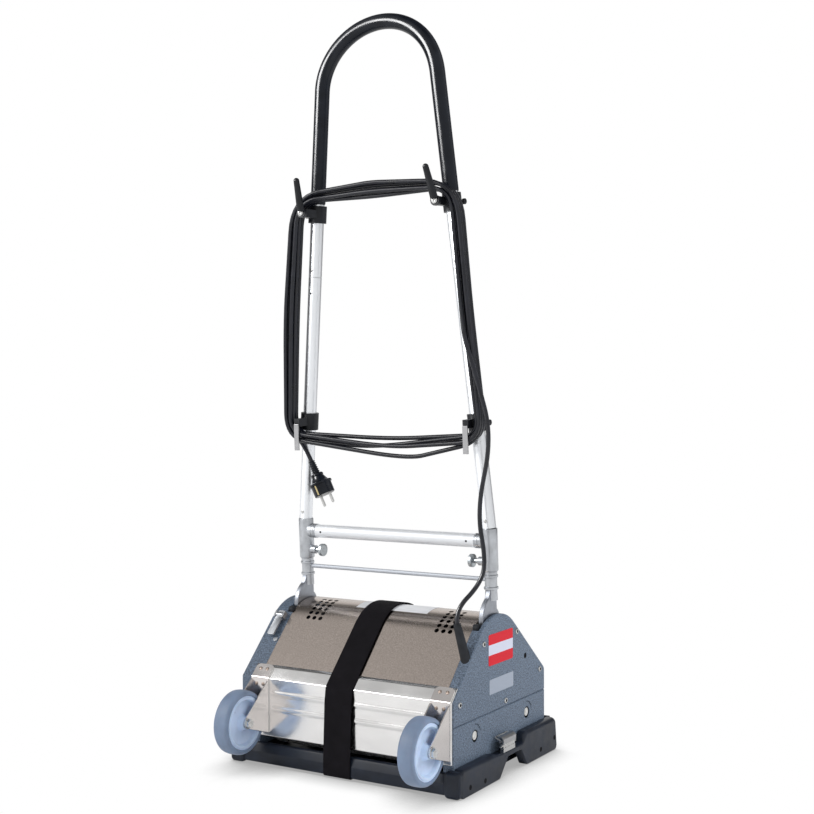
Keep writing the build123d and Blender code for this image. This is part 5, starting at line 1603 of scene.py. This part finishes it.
class MACHINE_OT_forks(bpy.types.Operator):
    """Cast the two forks: lug, ringed neck, socket and side bosses"""

    bl_idname = "carpet_machine.forks"
    bl_label = "Forks"

    neck = (
        (30, 10.0), (44, 9.6), (46.5, 9.6), (47, 11.0), (47.5, 11.5), (50.5, 11.5), (51, 11.0),
        (51.5, 9.8), (58, 9.8), (65.5, 9.8), (66, 11.0), (66.5, 11.5), (69.5, 11.5), (70, 11.0),
        (70.5, 10.2), (75, 10.4), (76, 11.8), (77.5, 12.5), (141.5, 12.5), (142.6, 12.2), (143, 11.6),
        (143, 10.2),
    )
    boss = (
        (8, 9.5), (8.5, 11.6), (13, 12.0), (15.5, 12.0), (16, 11.3), (17, 11.3), (17.5, 12.0),
        (20.5, 12.0), (21, 11.3), (22, 11.3), (22.5, 11.9), (23.5, 11.9), (23.5, 10.0),
    )
    plunger_boss = ((8, 7.0), (19.6, 7.0), (20.4, 6.2), (20.4, 4.0))
    lug_radius = 38 * MM
    lug_boss = 18 * MM
    lug_back = 10 * MM
    lug_half = 4 * MM
    bell_top = 52 * MM
    bell_low = 34 * MM
    neck_half = 9.6 * MM
    front_end = math.radians(-30)
    boss_start = math.radians(-70)
    lug_edge = 1.2 * MM

    def lug_outline(self):
        """Fore and up of the fan's rim: a flare from the neck, a front arc, the pivot boss, the back.

        The flare follows a parabola from the neck to the arc; both arcs are round the pivot.
        """
        up = np.linspace(self.bell_top, self.bell_low, 14)
        drop = (self.bell_top - up) / (self.bell_top - self.bell_low)
        wide = math.sqrt(self.lug_radius ** 2 - self.bell_low ** 2)
        flare = np.column_stack([self.neck_half + (wide - self.neck_half) * drop ** 2, up])
        angle = np.linspace(math.asin(self.bell_low / self.lug_radius), self.front_end, 24)[1:]
        front = self.lug_radius * np.column_stack([np.cos(angle), np.sin(angle)])
        back_angle = math.acos(-self.lug_back / self.lug_boss) - 2 * math.pi
        angle = np.linspace(self.boss_start, back_angle, 24)
        boss = self.lug_boss * np.column_stack([np.cos(angle), np.sin(angle)])
        return np.vstack([flare, front, boss, [(-self.lug_back, self.bell_top)]])

    def execute(self, context):
        for label, hand in SIDES:
            leg = hand * LEG_HALF
            to_middle = -hand * ALONG_X
            flat = self.lug_outline()
            outline = on_handle(leg - self.lug_half, flat[:, 1], flat[:, 0])
            fan = plate(outline, 2 * self.lug_half * ALONG_X)
            # The lug has the darker copy of the socket's cast alloy: painted shade
            lug = piece(f"{label}_fork_lug", [fan], "handle", "lug_alloy", (), 40)
            bevel(lug, self.lug_edge, 3, 50)
            turnings = ((self.neck, 0, LEG_UP, 48), (self.boss, CROSSBAR_UP, to_middle, 40),
                        (self.plunger_boss, PLUNGER_UP, to_middle, 32))
            cast = [turned(np.array(shape) * MM, on_handle(leg, up), axis, steps)
                    for shape, up, axis, steps in turnings]
            piece(f"{label}_fork_socket", cast, "handle", "cast_alloy", [f"{label}_fork"], 32)
        return {"FINISHED"}


class MACHINE_OT_plungers(bpy.types.Operator):
    """Turn the two spring plungers with their flat knobs"""

    bl_idname = "carpet_machine.plungers"
    bl_label = "Plungers"

    shape = (
        (6, 4.0), (28.2, 4.0), (28.6, 5.2), (29.0, 9.4), (29.4, 10.2), (30.0, 10.5), (34.6, 10.5),
        (35.2, 10.2), (35.5, 9.5), (35.5, 8.4), (35.0, 8.0), (35.0, 3.2), (35.4, 2.8), (35.4, 0.0),
    )

    def execute(self, context):
        for label, hand in SIDES:
            start = on_handle(hand * LEG_HALF, PLUNGER_UP)
            plunger = turned(np.array(self.shape) * MM, start, -hand * ALONG_X, 44)
            piece(f"{label}_plunger_turned", [plunger], f"{label}_plunger", "knob_steel",
                  [f"{label}_plunger"], 30)
        return {"FINISHED"}


class MACHINE_OT_hooks(bpy.types.Operator):
    """Mould the swivel hooks, their screws and the clamps' thumb screws"""

    bl_idname = "carpet_machine.hooks"
    bl_label = "Hooks"

    hub = ((0, 6.5), (0, 7.4), (0.6, 8.0), (6.2, 8.0), (7.0, 7.3), (7.0, 5.0))
    screw = ((-0.2, 4.9, False), (1.3, 4.9, False), (1.9, 4.4, False), (2.1, 3.6, False), (2.1, 2.4, True),
             (0.7, 2.3, True), (0.5, 0.0, False))
    knob = ((0, 3.0), (6.5, 3.0), (6.6, 4.2), (7.2, 4.6), (10.8, 4.6), (11.4, 4.2), (11.6, 3.0),
            (11.6, 0.0))
    hub_fore = UPPER_ARM_REACH + 0.1 * MM
    hook_length = 50 * MM
    hook_forward = 16 * MM
    hook_inward = 5 * MM
    root_radius = 6.2 * MM
    tip_radius = 4.7 * MM
    hub_thickness = 7.1 * MM
    knob_rows = (UPPER_HOOK_UP, LOWER_HOOK_UP)
    knob_gap = 1 * MM
    tip_steps = 7
    finger_start = 0.08
    tip_hole = 0.02 * MM

    def execute(self, context):
        screws = []
        knobs = []
        for label, hand in SIDES:
            x = hand * UPPER_ARM_SPREAD
            hub = turned(np.array(self.hub) * MM, on_handle(x, UPPER_HOOK_UP, self.hub_fore), LEG_FORE, 40)
            root = on_handle(x, UPPER_HOOK_UP, self.hub_fore + self.root_radius)
            tip = on_handle(x - hand * self.hook_inward, UPPER_HOOK_UP + self.hook_length,
                            self.hub_fore + self.root_radius + self.hook_forward)
            share = np.concatenate([np.linspace(self.finger_start, 1, 16), np.ones(self.tip_steps)])
            turn = np.linspace(0, math.pi / 2, self.tip_steps + 1)[1:]
            path = root + share[:, None] * (tip - root)
            path[-self.tip_steps:] += self.tip_radius * np.sin(turn)[:, None] * unit(tip - root)
            radius = self.root_radius + share * (self.tip_radius - self.root_radius)
            radius[-self.tip_steps:] = self.tip_radius * np.cos(turn) + self.tip_hole
            finger = carried(path, ring(1.0, 24), ALONG_X, radius)
            piece(f"{label}_hook_moulded", [hub, finger], f"{label}_hook", "soft_black", [f"{label}_hook"],
                  40)
            face = on_handle(x, UPPER_HOOK_UP, self.hub_fore + self.hub_thickness)
            screws.append(stacked(self.screw, face, LEG_FORE, 36))
            for up in self.knob_rows:
                start = on_handle(hand * (leg_x(up) + TUBE_RADIUS + self.knob_gap), up)
                knobs.append(turned(np.array(self.knob) * MM, start, hand * ALONG_X, 24))
        piece("hook_screw_heads", screws, "handle", "zinc", ["hook_screws"], 30)
        piece("clamp_thumb_screws", knobs, "handle", "soft_black", ["clamp_knobs"], 40)
        return {"FINISHED"}


class MACHINE_OT_tray(bpy.types.Operator):
    """Mould the tray: two deep side walls, corner posts and the pan between them"""

    bl_idname = "carpet_machine.tray"
    bl_label = "Tray"

    half_width = 212 * MM
    wall = 14 * MM
    # Along, up, radius of the corner and radius of the rim there, in mm
    side_wall = (
        (-158, 0, 6, 0.5), (-36, 0, 9, 2), (-8, 29, 5, 1.5), (37, 29, 5, 1.5), (57, 0, 9, 2),
        (170, 0, 8, 2), (170, 54, 11, 7.5), (52, 54, 9, 7), (44, 38, 6, 3), (-36, 38, 20, 3),
        (-56, 42, 20, 7.5), (-158, 42, 9, 4),
    )
    post = (185, 212, 40)
    post_corner = 7 * MM
    post_edge = 4.5 * MM
    post_depth = 10 * MM
    front = -166 * MM
    front_wall = ((-163, 3.5), (-163, 21), (-158.5, 33.5), (-155, 35.5), (-151, 35.5), (-151, 3.5))
    rear_wall = ((160, 3.5), (160, 54), (170, 54), (170, 3.5))
    floor = (3.5 * MM, 9.5 * MM)
    depth = (-160 * MM, 168 * MM)
    ledge = (182 * MM, 198 * MM, 145 * MM)
    ledge_rise = (25 * MM, 30 * MM)
    # Dark discs of painted shade stand for the peg holes in the side walls, which are not cut
    peg_holes = ((-132, 12), (-85, 10), (108, 13), (160, 21))
    peg_radius = 4 * MM
    peg_lift = 0.06 * MM
    front_round = 2.4 * MM
    rear_round = 2.5 * MM
    wall_overlap = 1 * MM

    def side(self, hand):
        """Side wall: its outline seen from the side, with the hand notch and the latch gap."""
        rows = np.array(self.side_wall, float)
        flat = rounded(rows[:, :2] * MM, rows[:, 2] * MM, 8)
        edges = np.repeat(rows[:, 3], 8) * MM
        inside = inward(flat)
        x = np.full(len(flat), hand * (self.half_width - self.wall))
        outline = np.column_stack([x, CASE_Y + flat[:, 0], flat[:, 1]])
        back = np.column_stack([np.zeros(len(flat)), inside])
        return pillow(outline, edges, self.wall, back, hand * ALONG_X)

    def corner_post(self, hand):
        """Post at a front corner, rounded toward the front."""
        low, high, top = np.array(self.post) * MM
        flat = rounded(((low, 0), (high, 0), (high, top), (low, top)), self.post_corner, 8)
        inside = inward(flat)
        y = np.full(len(flat), CASE_Y + self.front + self.post_depth)
        outline = np.column_stack([hand * flat[:, 0], y, flat[:, 1]])
        back = np.column_stack([hand * inside[:, 0], np.zeros(len(flat)), inside[:, 1]])
        return pillow(outline, np.full(len(flat), self.post_edge), self.post_depth, back, -ALONG_Y)

    def cross_wall(self, shape, radius):
        """Wall across the tray between its sides, of a rounded side view."""
        flat = rounded(np.array(shape) * MM, radius, 6)
        inner = self.half_width - self.wall + self.wall_overlap
        outline = np.column_stack([np.full(len(flat), -inner), CASE_Y + flat[:, 0], flat[:, 1]])
        return plate(outline, 2 * inner * ALONG_X)

    def slab(self, x, y, z):
        """Plain block between pairs of coordinates."""
        outline = [(x[0], y[0], z[0]), (x[1], y[0], z[0]), (x[1], y[1], z[0]), (x[0], y[1], z[0])]
        return plate(outline, (z[1] - z[0]) * ALONG_Z)

    def execute(self, context):
        low, high, reach = self.ledge
        along = (CASE_Y + self.depth[0], CASE_Y + self.depth[1])
        parts = [self.cross_wall(self.front_wall, self.front_round),
                 self.cross_wall(self.rear_wall, self.rear_round),
                 self.slab((-low, low), along, self.floor)]
        pegs = []
        for hand in (-1, 1):
            ledge_x = (hand * low, hand * high)
            ledge_y = (CASE_Y - reach, CASE_Y + reach)
            parts += [self.side(hand), self.corner_post(hand),
                      self.slab(ledge_x, ledge_y, self.ledge_rise)]
            for y, z in self.peg_holes:
                place = (hand * self.half_width, CASE_Y + y * MM, z * MM)
                disc = ((self.peg_lift, self.peg_radius), (self.peg_lift, 0))
                pegs.append(turned(disc, place, hand * ALONG_X, 28))
        piece("tray_moulded", parts, "base", "black_plastic", ["tray"], 40)
        # Painted shade for the peg holes
        piece("tray_peg_mouths", pegs, "base", "hollow", ())
        return {"FINISHED"}


class MACHINE_OT_latches(bpy.types.Operator):
    """Fold the levers of the side latches from sheet, with a rolled top"""

    bl_idname = "carpet_machine.latches"
    bl_label = "Latch levers"

    roll = 5.5 * MM
    sheet = 1.4 * MM
    half_length = 21 * MM
    shift = -3 * MM
    lip = 8 * MM
    edge = 0.35 * MM

    def execute(self, context):
        """Side line: up the outer face, over a quarter round, in along the top; the sheet runs along y."""
        for label, hand in SIDES:
            low, high = corners(f"{label}_latch_lever")
            face = max(abs(low[0]), abs(high[0])) - self.sheet / 2
            back = min(abs(low[0]), abs(high[0])) + self.sheet / 2
            top = high[2] - self.sheet / 2
            turn = np.linspace(0, math.pi / 2, 9)
            x = np.concatenate([[face, face], face - self.roll * (1 - np.cos(turn)), [back]])
            foot = low[2] + self.lip
            halfway = 0.5 * (foot + top - self.roll)
            z = np.concatenate([[foot, halfway], top - self.roll * (1 - np.sin(turn)), [top]])
            middle = (low[1] + high[1]) / 2 + self.shift
            y = middle + np.linspace(-self.half_length, self.half_length, 7)
            grid = np.empty((len(x), len(y), 3))
            grid[..., 0] = hand * x[:, None]
            grid[..., 1] = y
            grid[..., 2] = z[:, None]
            lever = piece(f"{label}_latch_folded", [surface(grid)], f"{label}_latch_lever", "bright_strip",
                          [f"{label}_latch_lever"], 40)
            thicken(lever, self.sheet)
            bevel(lever, self.edge, 2)
        return {"FINISHED"}


class MACHINE_OT_mouldings(bpy.types.Operator):
    """Round the edges of the clamps, the strips, the lever and the stops"""

    bl_idname = "carpet_machine.mouldings"
    bl_label = "Mouldings"

    def execute(self, context):
        softened("hook_clamps", "handle", "soft_black", 0.9 * MM, 2)
        softened("hook_strips", "handle", "bright_strip", 0.5 * MM, 2)
        softened("lock_lever", "lock_lever", "cast_alloy", 0.6 * MM, 2)
        softened("lever_mount", "base", "cast_alloy", 0.5 * MM, 2)
        softened("handle_stops", "base", "black_rubber", 1.5 * MM, 3)
        return {"FINISHED"}


class MACHINE_OT_sheen(bpy.types.Operator):
    """Keep the lamp that only makes reflections to the black and the drawn pieces"""

    bl_idname = "carpet_machine.sheen"
    bl_label = "Sheen"

    lit = ("glossy_black", "soft_black", "cord", "anodised", "knob_steel")

    def execute(self, context):
        receivers = bpy.data.collections.new("sheen")
        wanted = {finishes[name].name for name in self.lit}
        for made in context.scene.objects:
            if made.type == "MESH" and any(slot.name in wanted for slot in made.material_slots):
                receivers.objects.link(made)
        bpy.data.objects["left_sheen"].light_linking.receiver_collection = receivers
        return {"FINISHED"}


class VIEW3D_PT_carpet_machine(bpy.types.Panel):
    """Lists the steps that dress the machine"""

    bl_label = "Carpet machine"
    bl_space_type = "VIEW_3D"
    bl_region_type = "UI"
    bl_category = "Carpet machine"

    def draw(self, context):
        column = self.layout.column()
        for step in STEPS:
            column.operator(step.bl_idname)


STEPS = (
    MACHINE_OT_stage,
    MACHINE_OT_plain_nodes,
    MACHINE_OT_plug,
    MACHINE_OT_wound_cord,
    MACHINE_OT_free_cord,
    MACHINE_OT_strap,
    MACHINE_OT_apron,
    MACHINE_OT_wheels,
    MACHINE_OT_brackets,
    MACHINE_OT_fasteners,
    MACHINE_OT_relief,
    MACHINE_OT_grip,
    MACHINE_OT_top_label,
    MACHINE_OT_frame_tubes,
    MACHINE_OT_forks,
    MACHINE_OT_plungers,
    MACHINE_OT_hooks,
    MACHINE_OT_tray,
    MACHINE_OT_latches,
    MACHINE_OT_mouldings,
    MACHINE_OT_sheen,
)
CLASSES = (CarpetMachineSizes, CarpetMachineColours, *STEPS, VIEW3D_PT_carpet_machine)


def register():
    """Make the classes and the settings known."""
    for each in CLASSES:
        bpy.utils.register_class(each)
    bpy.types.Scene.carpet_machine_sizes = bpy.props.PointerProperty(type=CarpetMachineSizes)
    bpy.types.Scene.carpet_machine_colours = bpy.props.PointerProperty(type=CarpetMachineColours)


def unregister():
    """Take the settings and the classes away again."""
    del bpy.types.Scene.carpet_machine_colours
    del bpy.types.Scene.carpet_machine_sizes
    for each in reversed(CLASSES):
        bpy.utils.unregister_class(each)


def main():
    """Register and run each step."""
    register()
    for step in STEPS:
        group, name = step.bl_idname.split(".")
        getattr(getattr(bpy.ops, group), name)()


if __name__ == "__main__":
    main()
